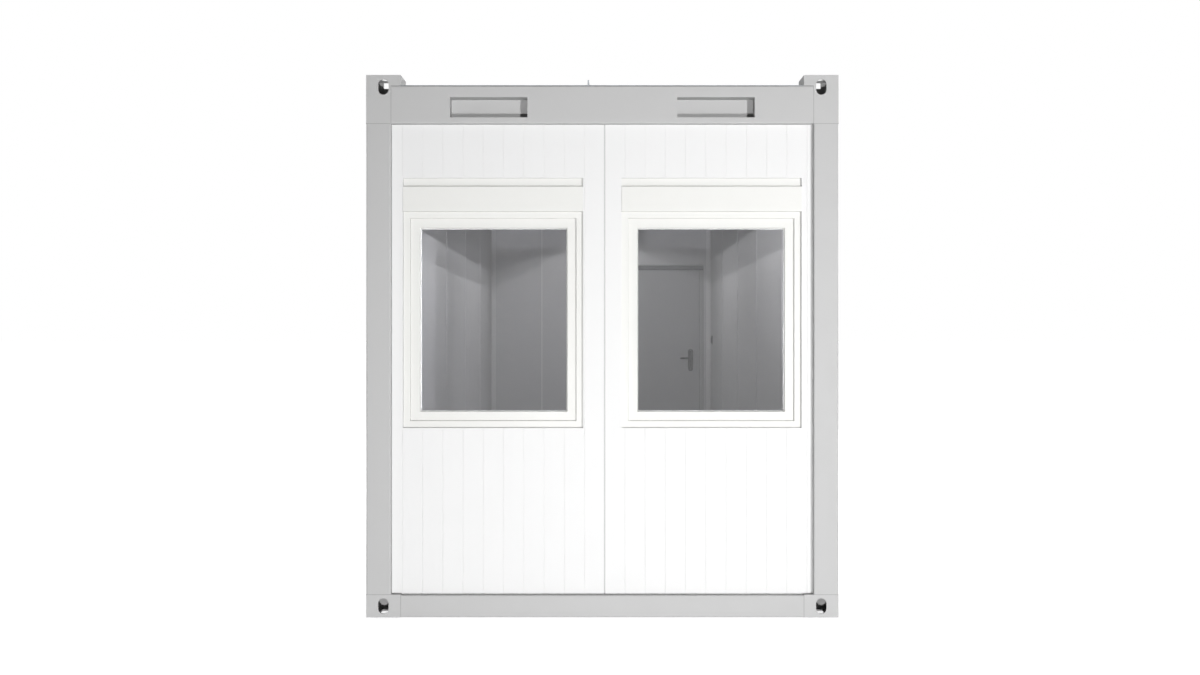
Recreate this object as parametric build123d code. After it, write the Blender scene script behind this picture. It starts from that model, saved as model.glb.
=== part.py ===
from build123d import *
import math
import os

# Portable site cabin.  All sizes are in millimetres.
# X runs across the front, Y from the front wall to the door wall, Z up from the ground.

# ------------------------------------------------------------------ driving sizes
OUT_W = 2438.0             # overall width
OUT_L = 6058.0             # overall length
OUT_H = 2800.0             # overall height, over the roof corner fittings
SEAT = 0.3                 # gap between two pieces that sit on each other

WALL_RECESS = 35.0         # wall face behind the frame plane
WALL_T = 60.0              # sandwich wall thickness
PANEL_JOINT = 7.0          # open joint between two wall panels
PANEL_COUNT = 5            # wall panels along each long side
GROOVE_PITCH = 105.0       # upright grooves in the outer skin
GROOVE_W = 3.0
GROOVE_D = 1.2
FRONT_JOINT_X = 12.0       # joint between the two front panels
REAR_JOINT_X = -609.0      # joint between the two panels on the hinge side of the door

POST_W = 128.0             # face of a corner post
POST_LIP = 20.0            # edge of the post, folded back over the wall
POST_T = 4.0               # post steel
BEAM_T = 4.0               # beam steel
BEND_R = 4.0               # inside radius of a folded edge

FIT_X = 178.0              # corner fitting, across
FIT_Y = 162.0              # corner fitting, along
FIT_RISE = 3.0             # floor corner fitting above the floor beam
FIT_T = 8.0                # corner fitting plate
FIT_HOLE_W = 54.0          # upright lashing hole in a side plate
FIT_HOLE_H = 80.0
FIT_DECK_W = 63.5          # lifting hole in a top or bottom plate
FIT_DECK_L = 124.0
FIT_DROP = 62.0            # lashing hole centre below the top of the cabin
FIT_SIGHT_EDGE = 63.0      # open part of the roof fitting's inner end, from the cabin's side

ROOF_BEAM_H = 196.0        # roof beam, height
ROOF_BEAM_DROP = 55.0      # top of the roof beam below the top of the cabin
ROOF_LIP = 20.7            # upright edge of the beam's bottom flange
ROOF_TOP_FLANGE = 60.0
POCKET_W = 400.0           # blind pocket in the front roof beam
POCKET_H = 104.0
POCKET_D = 75.0
POCKET_X = 586.5           # pocket centre either side of the middle
POCKET_RISE = 84.0         # pocket centre above the underside of the beam
POCKET_T = 3.0
POCKET_RIM = 16.0

FLOOR_BEAM_H = 115.0
FLOOR_BOTTOM_FLANGE = 60.0
FLOOR_LIP = 24.0
BEARER_H = 100.0           # floor cross member
BEARER_W = 50.0
BEARER_T = 3.0
BEARER_COUNT = 9
FLOOR_BOARD_T = 22.0
COVERING_T = 2.4
UNDER_SHEET_T = 2.0

CEILING_T = 10.0
BOARD_GAP = 1.0            # half the joint between two ceiling boards
JOIST_H = 160.0            # roof cross member
JOIST_W = 60.0
JOIST_T = 3.0
JOIST_COUNT = 9
ROOF_SHEET_T = 2.0
SEAM_X = -72.0             # standing seam
SEAM_H = 30.0              # above the roof beams
SEAM_W = 8.0

WINDOW_X = 567.0           # window centre either side of the middle
CUT_W = 934.0              # hole in the wall for window and shutter box
CUT_BOTTOM = 976.0         # its foot above the ground
FRAME_TALL = 1123.0        # part of the hole that the window takes
COVER_H = 130.0            # shutter cover above the window
BAND_H = 44.0              # band above the cover, up to the top of the hole
FRAME_FACE = 36.0          # visible face of the fixed frame
SASH_FACE = 50.5           # visible face of the sash
FRAME_BACK = 16.0          # frame face behind the wall face
FRAME_DEPTH = 70.0
FRAME_SPLAY = 1.5          # bevel round the sash
SASH_STEP = 13.0           # sash face behind the frame face
SASH_DEPTH = 66.0
SASH_SPLAY = 5.0           # bevel round the glass
SASH_LIP = 10.0            # sash in front of the glass
SASH_LAP = 11.0            # sash edge hidden behind the frame
GLASS_LAP = 9.0            # glass edge hidden in the sash
GLASS_PANE = 4.0
GLASS_UNIT = 30.0          # room for the two panes between lip and bead
COVER_PROUD = 4.0          # cover in front of the wall face
SHUTTER_STEP = 14.0        # band above the cover, behind the wall face
SHUTTER_BOX_D = 148.0      # cover face to the back of the box in the room
HANDLE_W = 28.0            # window handle
HANDLE_PLATE_H = 66.0
HANDLE_PLATE_T = 7.0
HANDLE_STAND = 42.0
HANDLE_L = 115.0
HANDLE_T = 11.0

DOOR_X0 = 178.0            # door frame, outer edges
DOOR_X1 = 1053.0
DOOR_TOP = 2193.0
DOOR_STOP = 43.0           # frame face seen from the room
DOOR_REBATE = 25.0         # frame face seen from outside
DOOR_STOP_T = 8.0
DOOR_FRAME_IN = 5.0        # frame in front of the wall, room side
DOOR_FRAME_OUT = 3.0       # frame in front of the wall, outside
LEAF_T = 40.0
LEAF_BACK = 7.0            # room between the leaf and its stop
LEAF_EDGE_HINGE = 7.0
LEAF_EDGE_LATCH = 9.0
LEAF_EDGE_TOP = 7.0
LEAF_EDGE_BOTTOM = 7.0
SILL_RISE = 3.0            # threshold under the leaf, above the floor
SILL_STOP_RISE = 18.0      # threshold edge the leaf closes against
SEAL_T = 1.6

HINGE_R = 8.0
HINGE_PIN_R = 5.0
HINGE_PLAY = 0.15
HINGE_OFF_X = -1.0         # pin axis from the leaf's edge
HINGE_OFF_Y = 14.0         # pin axis from the face of the door frame
HINGE_H = 100.0
HINGE_FLAP_T = 3.2
HINGE_FRAME_FLAP = 27.0    # flap's far edge from the pin axis
HINGE_LEAF_FLAP = 42.0
HINGE_CAP = 6.0            # knuckle above its bore, and room above the pin
HINGE_MARGIN = 255.0       # hinges from the ends of the leaf

LEVER_BACKSET = 101.0      # spindle from the leaf's latch edge
LEVER_Z = 1232.0
LEVER_REACH = 108.0        # spindle to the end of the grip
LEVER_STAND = 34.0         # grip centre in front of the leaf
LEAF_EASE = 2.0
SPINDLE = 8.0              # square spindle
SPINDLE_PLAY = 0.8         # round its corners, in the leaf
NECK_R = 8.5
NECK_PLAY = 1.0
GRIP_H = 21.0
GRIP_TIP_H = 17.0
GRIP_T = 13.0
GRIP_EASE = 5.0
PLATE_W = 50.0
PLATE_H = 225.0
PLATE_T = 7.7
PLATE_DROP = 17.5          # plate centre below the spindle
LOCK_DROP = 76.0           # lock cylinder below the spindle
LOCK_R = 8.5
LOCK_TAIL = 33.0
LOCK_TAIL_W = 10.0

TRIM_LEG = 45.0            # upright angle in each corner of the room
TRIM_T = 2.0
STRIP_W = 13.0             # strip over each joint of the lining
STRIP_T = 2.0
SKIRT_H = 60.0
SKIRT_T = 12.0
SWITCH_SIZE = 82.0
SWITCH_T = 9.0
SWITCH_Z = 1421.0
SWITCH_FROM_REAR = 170.0

# ------------------------------------------------------------------ derived sizes
HX = OUT_W / 2
HY = OUT_L / 2
WX_OUT = HX - WALL_RECESS                  # outer face of a side wall
WX_IN = WX_OUT - WALL_T                    # inner face of a side wall
WY_OUT = HY - WALL_RECESS                  # outer face of an end wall
WY_IN = WY_OUT - WALL_T
FRAME_REACH = WALL_RECESS + WALL_T         # depth of every beam, out to the room face
ROOF_Z1 = OUT_H - ROOF_BEAM_DROP           # top of the roof beams
ROOF_Z0 = ROOF_Z1 - ROOF_BEAM_H            # underside of the roof beams
WALL_Z0 = FLOOR_BEAM_H + SEAT
WALL_Z1 = ROOF_Z0 - SEAT
BOARD_Z1 = FLOOR_BEAM_H + SEAT + FLOOR_BOARD_T
FLOOR_Z = BOARD_Z1 + SEAT + COVERING_T     # finished floor
CEILING_Z = ROOF_Z0 + ROOF_LIP + SEAT      # underside of the ceiling
FIT_H = FLOOR_BEAM_H + FIT_RISE            # floor corner fitting, height
POCKET_Z = ROOF_Z0 + POCKET_RISE
SEAM_TOP = ROOF_Z1 + SEAM_H
FRAME_TOP = CUT_BOTTOM + FRAME_TALL
COVER_TOP = FRAME_TOP + COVER_H
CUT_TOP = COVER_TOP + BAND_H
FIT_CX = HX - FIT_X / 2                    # centre of a fitting's holes
FIT_CY = HY - FIT_Y / 2

NODES = {}


# ------------------------------------------------------------------ helpers
def block(x0, x1, y0, y1, z0, z1):
    """Box between two corners."""
    size = Box(x1 - x0, y1 - y0, z1 - z0)
    return Pos((x0 + x1) / 2, (y0 + y1) / 2, (z0 + z1) / 2) * size


def outline(points, radii=None):
    """Face inside a closed outline, each corner rounded to its own radius."""
    count = len(points)
    radii = radii or [0.0] * count
    corners = []
    for i in range(count):
        here = Vector(*points[i])
        back = (Vector(*points[i - 1]) - here).normalized()
        ahead = (Vector(*points[(i + 1) % count]) - here).normalized()
        if radii[i] <= 0:
            corners.append((here, None, here))
            continue
        half = math.acos(max(-1.0, min(1.0, back.dot(ahead)))) / 2
        reach = radii[i] / math.tan(half)
        bisector = (back + ahead).normalized()
        middle = here + bisector * (radii[i] / math.sin(half) - radii[i])
        corners.append((here + back * reach, middle, here + ahead * reach))
    edges = []
    for i in range(count):
        start, middle, end = corners[i]
        if middle is not None:
            edges.append(ThreePointArc(start, middle, end))
        edges.append(Line(end, corners[(i + 1) % count][0]))
    return make_face(edges)


def folded(points, sheet, inner_r=0.0, rounded=()):
    """Section of a folded sheet: points run along one face, the metal is on their right.

    Only the folds numbered in rounded have the inside radius, and the others are sharp.
    """
    count = len(points)
    normals = []
    for i in range(count - 1):
        dx = points[i + 1][0] - points[i][0]
        dy = points[i + 1][1] - points[i][1]
        run = math.hypot(dx, dy)
        normals.append((dy / run, -dx / run))
    inner, outer_r, inner_rs = [], [], []
    for i in range(count):
        a = normals[max(i - 1, 0)]
        b = normals[min(i, count - 2)]
        scale = sheet / (1 + a[0] * b[0] + a[1] * b[1])
        inner.append((points[i][0] + (a[0] + b[0]) * scale, points[i][1] + (a[1] + b[1]) * scale))
        turn = a[0] * b[1] - a[1] * b[0]
        if i not in rounded:
            outer_r.append(0.0)
            inner_rs.append(0.0)
        elif turn < 0:
            outer_r.append(inner_r + sheet)
            inner_rs.append(inner_r)
        else:
            outer_r.append(inner_r)
            inner_rs.append(inner_r + sheet)
    return outline(list(points) + inner[::-1], outer_r + inner_rs[::-1])


def along_x(face, x0, x1):
    """Face drawn in (Y, Z), drawn out along X."""
    return extrude(Plane((x0, 0, 0), x_dir=(0, 1, 0), z_dir=(1, 0, 0)) * face, x1 - x0)


def along_y(face, y0, y1):
    """Face drawn in (X, Z), drawn out along Y."""
    return extrude(Plane((0, y1, 0), x_dir=(1, 0, 0), z_dir=(0, -1, 0)) * face, y1 - y0)


def along_z(face, z0, z1):
    """Face drawn in (X, Y), drawn out along Z."""
    return extrude(Plane((0, 0, z0), x_dir=(1, 0, 0), z_dir=(0, 0, 1)) * face, z1 - z0)


def upright_slot(x, z, width, height):
    """Slot with round ends, long along the second axis of its plane."""
    return Pos(x, z) * SlotOverall(height, width, rotation=90)


def flip_x(shape):
    return mirror(shape, about=Plane.YZ)


def flip_y(shape):
    return mirror(shape, about=Plane.XZ)


def four(shape):
    """The piece in all four corners."""
    pair = [shape, flip_x(shape)]
    return pair + [flip_y(one) for one in pair]


def solids(pieces):
    found = []
    for piece in pieces:
        found.extend(piece.solids())
    return found


def node(name, *pieces):
    NODES[name] = Compound(solids(pieces))


# ------------------------------------------------------------------ corner fittings
def lashing_holes(z):
    """Round-ended holes in the two outer plates of a fitting."""
    end_slot = upright_slot(FIT_CX, z, FIT_HOLE_W, FIT_HOLE_H)
    side_slot = upright_slot(FIT_CY, z, FIT_HOLE_W, FIT_HOLE_H)
    through = FIT_T + 10
    return along_y(end_slot, HY - through, HY + 10) + along_x(side_slot, HX - through, HX + 10)


def floor_fitting():
    body = block(HX - FIT_X, HX, HY - FIT_Y, HY, 0, FIT_H)
    body -= block(HX - FIT_X + FIT_T, HX - FIT_T, HY - FIT_Y + FIT_T, HY - FIT_T, FIT_T, FIT_H - FIT_T)
    foot_hole = Pos(FIT_CX, FIT_CY) * Rectangle(FIT_DECK_W, FIT_DECK_L)
    return body - lashing_holes(FIT_H / 2) - along_z(foot_hole, -10, FIT_T + 2)


def roof_fitting():
    stem = HX - POST_W
    stem_y = HY - POST_W
    body = block(stem, HX, stem_y, HY, ROOF_Z0, OUT_H)
    body += block(HX - FIT_X, HX, HY - FIT_Y, HY, ROOF_Z1 + SEAT, OUT_H)
    hollow = block(stem + FIT_T, HX - FIT_T, stem_y + FIT_T, HY - FIT_T, ROOF_Z0 + FIT_T, OUT_H - FIT_T)
    hollow += block(HX - FIT_X + FIT_T, HX - FIT_T, HY - FIT_Y + FIT_T, HY - FIT_T,
                    ROOF_Z1 + SEAT + FIT_T, OUT_H - FIT_T)
    body -= hollow
    sight = block(HX - FIT_X + FIT_T, HX - FIT_SIGHT_EDGE, HY - FIT_Y - 10, HY - FIT_Y + FIT_T + 2,
                  ROOF_Z1 + SEAT + FIT_T, OUT_H - FIT_T)
    lifting_hole = upright_slot(FIT_CX, FIT_CY, FIT_DECK_W, FIT_DECK_L)
    body -= along_z(lifting_hole, OUT_H - FIT_T - 2, OUT_H + 10)
    return body - sight - lashing_holes(OUT_H - FIT_DROP)


node("floor_corner_fittings", *four(floor_fitting()))
node("roof_corner_fittings", *four(roof_fitting()))

# room that the floor corner fittings take out of the walls and the floor board
FITTING_ROOM = block(HX - FIT_X - SEAT, HX + 10, HY - FIT_Y - SEAT, HY + 10, -10, FIT_H + SEAT)


# ------------------------------------------------------------------ corner posts
def corner_post():
    """Folded post: both faces, both edges turned back to the walls, and a lip on each wall."""
    x_in = HX - POST_W
    y_in = HY - POST_W
    points = [(x_in + POST_LIP, WY_OUT + SEAT), (x_in, WY_OUT + SEAT), (x_in, HY), (HX, HY),
              (HX, y_in), (WX_OUT + SEAT, y_in), (WX_OUT + SEAT, y_in + POST_LIP)]
    return along_z(folded(points, POST_T, BEND_R, (2, 3, 4)), FIT_H + SEAT, ROOF_Z0 - SEAT)


node("corner_posts", *four(corner_post()))


# ------------------------------------------------------------------ roof frame
def roof_section(outer):
    """Lipped channel: top flange, web on the outer plane, deep bottom flange with its lip."""
    points = [(outer - ROOF_TOP_FLANGE, ROOF_Z1), (outer, ROOF_Z1), (outer, ROOF_Z0),
              (outer - FRAME_REACH, ROOF_Z0), (outer - FRAME_REACH, ROOF_Z0 + ROOF_LIP)]
    return folded(points, BEAM_T, BEND_R, (1, 2))


def pocket_centres():
    return [(-POCKET_X, POCKET_Z), (POCKET_X, POCKET_Z)]


def front_roof_beam():
    end = HX - POST_W - SEAT
    beam = along_x(roof_section(HY), -end, end)
    for x, z in pocket_centres():
        beam -= block(x - POCKET_W / 2, x + POCKET_W / 2, HY - BEAM_T - 5, HY + 5,
                      z - POCKET_H / 2, z + POCKET_H / 2)
    return flip_y(beam)


def pocket_tray(x, z):
    """Blind tray behind a pocket hole, its rim lying on the back of the web."""
    y_rim = HY - BEAM_T - SEAT
    y_back = HY - POCKET_D
    w, h = POCKET_W / 2, POCKET_H / 2
    tray = block(x - w - POCKET_T, x + w + POCKET_T, y_back - POCKET_T, y_rim,
                 z - h - POCKET_T, z + h + POCKET_T)
    tray += block(x - w - POCKET_RIM, x + w + POCKET_RIM, y_rim - POCKET_T, y_rim,
                  z - h - POCKET_RIM, z + h + POCKET_RIM)
    tray -= block(x - w, x + w, y_back, y_rim + 5, z - h, z + h)
    return flip_y(tray)


def side_roof_beam():
    end = HY - POST_W - SEAT
    return along_y(roof_section(HX), -end, end)


rear_end = HX - POST_W - SEAT
node("front_roof_beam", front_roof_beam())
node("front_beam_pockets", *[pocket_tray(x, z) for x, z in pocket_centres()])
node("rear_roof_beam", along_x(roof_section(HY), -rear_end, rear_end))
node("side_roof_beams", side_roof_beam(), flip_x(side_roof_beam()))


# ------------------------------------------------------------------ floor frame
def floor_section(outer):
    """Lipped channel: bottom flange, web, deep top flange that carries the wall, and its lip."""
    points = [(outer - FRAME_REACH, FLOOR_BEAM_H - FLOOR_LIP), (outer - FRAME_REACH, FLOOR_BEAM_H),
              (outer, FLOOR_BEAM_H), (outer, 0), (outer - FLOOR_BOTTOM_FLANGE, 0)]
    return folded(points, BEAM_T, BEND_R, (2, 3))


def end_floor_beam():
    end = HX - FIT_X - SEAT
    return along_x(floor_section(HY), -end, end)


def side_floor_beam():
    end = HY - FIT_Y - SEAT
    return along_y(floor_section(HX), -end, end)


def channel(centre, width, z0, z1, sheet):
    """Plain channel in (Y, Z) with its web on one side."""
    points = [(centre + width / 2, z0), (centre - width / 2, z0), (centre - width / 2, z1),
              (centre + width / 2, z1)]
    return folded(points, sheet)


def spread(count, span):
    """Positions of equal bays over a span."""
    return [-span / 2 + span * (i + 1) / (count + 1) for i in range(count)]


BEARER_Z1 = FLOOR_BEAM_H
BEARER_Z0 = BEARER_Z1 - BEARER_H
bearer_end = WX_IN - SEAT
bearers = [along_x(channel(y, BEARER_W, BEARER_Z0, BEARER_Z1, BEARER_T), -bearer_end, bearer_end)
           for y in spread(BEARER_COUNT, 2 * WY_IN)]
node("end_floor_beams", end_floor_beam(), flip_y(end_floor_beam()))
node("side_floor_beams", side_floor_beam(), flip_x(side_floor_beam()))
node("floor_cross_members", *bearers)


def three_lengths(x_edge, y_edge, z0, z1):
    """Sheet laid in three lengths, the two short ones between the corner fittings."""
    y_fit = HY - FIT_Y - SEAT
    x_fit = HX - FIT_X - SEAT
    main = block(-x_edge, x_edge, -y_fit, y_fit, z0, z1)
    short = block(-x_fit, x_fit, y_fit + SEAT, y_edge, z0, z1)
    return [main, short, flip_y(short)]


under_edge_x = HX - FLOOR_BOTTOM_FLANGE - 10
under_edge_y = HY - FLOOR_BOTTOM_FLANGE - 10
node("underfloor_sheet", *three_lengths(under_edge_x, under_edge_y,
                                        BEARER_Z0 - SEAT - UNDER_SHEET_T, BEARER_Z0 - SEAT))

board = block(-(WX_IN - SEAT), WX_IN - SEAT, -(WY_IN - SEAT), WY_IN - SEAT,
              FLOOR_BEAM_H + SEAT, BOARD_Z1)
covering = block(-(WX_IN - SEAT), WX_IN - SEAT, -(WY_IN - SEAT), WY_IN - SEAT,
                 BOARD_Z1 + SEAT, FLOOR_Z)
door_room = block(DOOR_X0 - SEAT, DOOR_X1 + SEAT, WY_IN - DOOR_FRAME_IN - SEAT, HY, 0, DOOR_TOP)
for corner in four(FITTING_ROOM):
    board -= corner
node("floor_board", board - door_room)
node("floor_covering", covering - door_room)


# ------------------------------------------------------------------ walls
def grooves(s0, s1, start):
    """Groove centres between two edges, counted from a joint."""
    first = math.ceil((s0 + GROOVE_W - start) / GROOVE_PITCH)
    last = math.floor((s1 - GROOVE_W - start) / GROOVE_PITCH)
    return [start + k * GROOVE_PITCH for k in range(first, last + 1)]


def wall_panel(s0, s1, z0, z1, start, out=WY_OUT):
    """Sandwich panel whose outer skin, towards +Y, is grooved."""
    points = [(s0, out)]
    for s in grooves(s0, s1, start):
        points += [(s - GROOVE_W / 2, out), (s, out - GROOVE_D), (s + GROOVE_W / 2, out)]
    points += [(s1, out), (s1, out - WALL_T), (s0, out - WALL_T)]
    return along_z(outline(points), z0, z1)


def notched(panel):
    """Panel with its foot cut back round the floor corner fittings."""
    for corner in four(FITTING_ROOM):
        panel -= corner
    return panel


def front_panel(side):
    edge = WX_OUT - SEAT
    left = (-edge, FRONT_JOINT_X - PANEL_JOINT / 2)
    right = (FRONT_JOINT_X + PANEL_JOINT / 2, edge)
    s0, s1 = left if side < 0 else right
    panel = wall_panel(s0, s1, WALL_Z0, WALL_Z1, FRONT_JOINT_X)
    centre = side * WINDOW_X
    panel -= block(centre - CUT_W / 2, centre + CUT_W / 2, WY_IN - 10, WY_OUT + 10,
                   CUT_BOTTOM, CUT_TOP)
    return notched(flip_y(panel))


def side_panels():
    """Panels of the right-hand long wall."""
    span = 2 * (WY_IN - SEAT)
    width = (span - (PANEL_COUNT - 1) * PANEL_JOINT) / PANEL_COUNT
    panels = []
    for k in range(PANEL_COUNT):
        s0 = -span / 2 + k * (width + PANEL_JOINT)
        panel = wall_panel(s0, s0 + width, WALL_Z0, WALL_Z1, s0 - PANEL_JOINT / 2, WX_OUT)
        panels.append(notched(Rot(0, 0, -90) * panel))
    return panels


def side_joints():
    """Positions of the joints along a long wall."""
    span = 2 * (WY_IN - SEAT)
    width = (span - (PANEL_COUNT - 1) * PANEL_JOINT) / PANEL_COUNT
    return [span / 2 - (k + 1) * (width + PANEL_JOINT) + PANEL_JOINT / 2
            for k in range(PANEL_COUNT - 1)]


right_panels = side_panels()
rear_edge = WX_OUT - SEAT
rear_outer = wall_panel(-rear_edge, REAR_JOINT_X - PANEL_JOINT / 2, WALL_Z0, WALL_Z1, REAR_JOINT_X)
rear_inner = wall_panel(REAR_JOINT_X + PANEL_JOINT / 2, DOOR_X0 - SEAT, WALL_Z0, WALL_Z1, REAR_JOINT_X)
rear_latch = wall_panel(DOOR_X1 + SEAT, rear_edge, WALL_Z0, WALL_Z1, REAR_JOINT_X)
rear_over = wall_panel(DOOR_X0, DOOR_X1, DOOR_TOP + SEAT, WALL_Z1, REAR_JOINT_X)
node("front_left_panel", front_panel(-1))
node("front_right_panel", front_panel(1))
node("left_wall_panels", *[flip_x(panel) for panel in right_panels])
node("right_wall_panels", *right_panels)
node("rear_hinge_side_panels", notched(rear_outer), rear_inner)
node("rear_latch_side_panel", notched(rear_latch))
node("rear_over_door_panel", rear_over)


# ------------------------------------------------------------------ windows and shutter boxes
def ring(width, height, hole_w, hole_h, y0, y1):
    """Rectangular ring about the Y axis."""
    body = block(-width / 2, width / 2, y0, y1, -height / 2, height / 2)
    return body - block(-hole_w / 2, hole_w / 2, y0 - 5, y1 + 5, -hole_h / 2, hole_h / 2)


def splay(width, height, grow, y0, y1):
    """Cutter that widens outwards, for a bevelled reveal."""
    small = Plane((0, y0, 0), x_dir=(1, 0, 0), z_dir=(0, -1, 0)) * Rectangle(width, height)
    big = Plane((0, y1, 0), x_dir=(1, 0, 0), z_dir=(0, -1, 0))
    return loft([small, big * Rectangle(width + 2 * grow, height + 2 * grow)], ruled=True)


FRAME_W = CUT_W - 2 * SEAT
FRAME_H = FRAME_TOP - CUT_BOTTOM - SEAT
FRAME_Z = (FRAME_TOP + CUT_BOTTOM + SEAT) / 2
SASH_W = CUT_W - 2 * FRAME_FACE            # sash as seen inside the frame
SASH_H = FRAME_TALL - 2 * FRAME_FACE
VIEW_W = SASH_W - 2 * SASH_FACE            # clear glass
VIEW_H = SASH_H - 2 * SASH_FACE
FRAME_Y1 = WY_OUT - FRAME_BACK
FRAME_Y0 = FRAME_Y1 - FRAME_DEPTH
SASH_Y1 = FRAME_Y1 - SASH_STEP
SASH_Y0 = SASH_Y1 - SASH_DEPTH


def window_frame():
    frame = ring(FRAME_W, FRAME_H, SASH_W, SASH_H, FRAME_Y0, FRAME_Y1)
    frame -= block(-SASH_W / 2 - SASH_LAP, SASH_W / 2 + SASH_LAP, FRAME_Y0 - 5, SASH_Y1 + SEAT,
                   -SASH_H / 2 - SASH_LAP, SASH_H / 2 + SASH_LAP)
    return frame - splay(SASH_W, SASH_H, FRAME_SPLAY, FRAME_Y1 - 9, FRAME_Y1 + 0.01)


def window_sash():
    lap = SASH_LAP - SEAT
    sash = ring(SASH_W + 2 * lap, SASH_H + 2 * lap, VIEW_W, VIEW_H, SASH_Y0, SASH_Y1)
    glass_y1 = SASH_Y1 - SASH_LIP
    sash -= block(-VIEW_W / 2 - GLASS_LAP, VIEW_W / 2 + GLASS_LAP, glass_y1 - GLASS_UNIT, glass_y1,
                  -VIEW_H / 2 - GLASS_LAP, VIEW_H / 2 + GLASS_LAP)
    sash -= splay(VIEW_W, VIEW_H, SASH_SPLAY, glass_y1, SASH_Y1 + 0.01)
    bead = Rot(0, 0, 180) * splay(VIEW_W, VIEW_H, SASH_SPLAY, GLASS_UNIT - glass_y1, 0.01 - SASH_Y0)
    return sash - bead


def glass_panes():
    lap = GLASS_LAP - SEAT
    y1 = SASH_Y1 - SASH_LIP - SEAT
    y0 = SASH_Y1 - SASH_LIP - GLASS_UNIT + SEAT
    w, h = VIEW_W / 2 + lap, VIEW_H / 2 + lap
    return [block(-w, w, y1 - GLASS_PANE, y1, -h, h), block(-w, w, y0, y0 + GLASS_PANE, -h, h)]


def shutter_box():
    """Roller shutter box: proud cover, stepped-back band above it, chamfered back in the room."""
    face = WY_OUT + COVER_PROUD
    back = face - SHUTTER_BOX_D
    z0 = FRAME_TOP + SEAT
    z1 = CUT_TOP - SEAT
    step = WY_OUT - SHUTTER_STEP
    points = [(back, z0), (face, z0), (face, COVER_TOP), (step, COVER_TOP), (step, z1),
              (back + 30, z1), (back, z1 - 30)]
    return along_x(outline(points, [0, 2, 2, 0, 0, 0, 0]), -FRAME_W / 2, FRAME_W / 2)


def window_handle():
    """Handle on the room side of the sash, turned down."""
    y0 = SASH_Y0 - SEAT
    plate = along_y(Rectangle(HANDLE_W, HANDLE_PLATE_H), y0 - HANDLE_PLATE_T, y0)
    far = [e for e in plate.edges() if abs(e.center().Y - (y0 - HANDLE_PLATE_T)) < 0.01]
    plate = chamfer(far, HANDLE_PLATE_T / 2)
    half = HANDLE_W / 3
    y_far = y0 - HANDLE_STAND
    side = outline([(y0, half), (y0, -half), (y_far + HANDLE_T, -half), (y_far + HANDLE_T, -HANDLE_L),
                    (y_far, -HANDLE_L), (y_far, half)])
    return plate + along_x(side, -half, half)


def at_window(shape, side, dx=0.0, z=FRAME_Z):
    """Piece drawn about the Y axis, set in the left or right window of the front wall."""
    return flip_y(Pos(side * WINDOW_X + dx, 0, z) * shape)


handle_dx = (SASH_W / 2 + SASH_LAP + VIEW_W / 2) / 2
node("left_window_frame", at_window(window_frame(), -1))
node("right_window_frame", at_window(window_frame(), 1))
node("left_window_sash", at_window(window_sash(), -1))
node("right_window_sash", at_window(window_sash(), 1))
node("window_glass", *[at_window(pane, side) for side in (-1, 1) for pane in glass_panes()])
node("shutter_boxes", *[at_window(shutter_box(), side, z=0) for side in (-1, 1)])
node("window_handles", *[at_window(window_handle(), side, -side * handle_dx) for side in (-1, 1)])


# ------------------------------------------------------------------ doorway
FRAME_IN_Y = WY_IN - DOOR_FRAME_IN
STOP_Y = FRAME_IN_Y + DOOR_STOP_T
FRAME_OUT_Y = WY_OUT + DOOR_FRAME_OUT
STOP_X0 = DOOR_X0 + DOOR_STOP
STOP_X1 = DOOR_X1 - DOOR_STOP
STOP_Z = DOOR_TOP - DOOR_STOP
REBATE_X0 = DOOR_X0 + DOOR_REBATE
REBATE_X1 = DOOR_X1 - DOOR_REBATE
REBATE_Z = DOOR_TOP - DOOR_REBATE
LEAF_X0 = REBATE_X0 + LEAF_EDGE_HINGE
LEAF_X1 = REBATE_X1 - LEAF_EDGE_LATCH
LEAF_Z1 = REBATE_Z - LEAF_EDGE_TOP
SILL_TOP = FLOOR_Z + SILL_RISE
SILL_STOP = FLOOR_Z + SILL_STOP_RISE
LEAF_BOTTOM = SILL_TOP + LEAF_EDGE_BOTTOM
LEVER_X = LEAF_X1 - LEVER_BACKSET
PLATE_Z = LEVER_Z - PLATE_DROP
LEAF_Y0 = STOP_Y + LEAF_BACK
LEAF_Y1 = LEAF_Y0 + LEAF_T


def door_frame():
    """Rebated steel frame: two jambs and a head in one."""
    frame = block(DOOR_X0, DOOR_X1, FRAME_IN_Y, FRAME_OUT_Y, WALL_Z0, DOOR_TOP)
    frame -= block(STOP_X0, STOP_X1, FRAME_IN_Y - 5, FRAME_OUT_Y + 5, WALL_Z0 - 5, STOP_Z)
    frame -= block(REBATE_X0, REBATE_X1, STOP_Y, FRAME_OUT_Y + 5, WALL_Z0 - 5, REBATE_Z)
    rim = [e for e in frame.edges().filter_by(Axis.Z)
           if e.center().Y > FRAME_OUT_Y - 0.1 or e.center().Y < FRAME_IN_Y + 0.1]
    return chamfer(rim, 1.5) - FITTING_ROOM


def door_threshold():
    plan = [(STOP_X0 + SEAT, FRAME_IN_Y), (STOP_X1 - SEAT, FRAME_IN_Y),
            (STOP_X1 - SEAT, STOP_Y + SEAT), (REBATE_X1 - SEAT, STOP_Y + SEAT),
            (REBATE_X1 - SEAT, FRAME_OUT_Y), (REBATE_X0 + SEAT, FRAME_OUT_Y),
            (REBATE_X0 + SEAT, STOP_Y + SEAT), (STOP_X0 + SEAT, STOP_Y + SEAT)]
    sill = along_z(outline(plan), WALL_Z0, SILL_TOP)
    return sill + block(STOP_X0 + SEAT, STOP_X1 - SEAT, FRAME_IN_Y, STOP_Y, SILL_TOP - 5, SILL_STOP)


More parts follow.
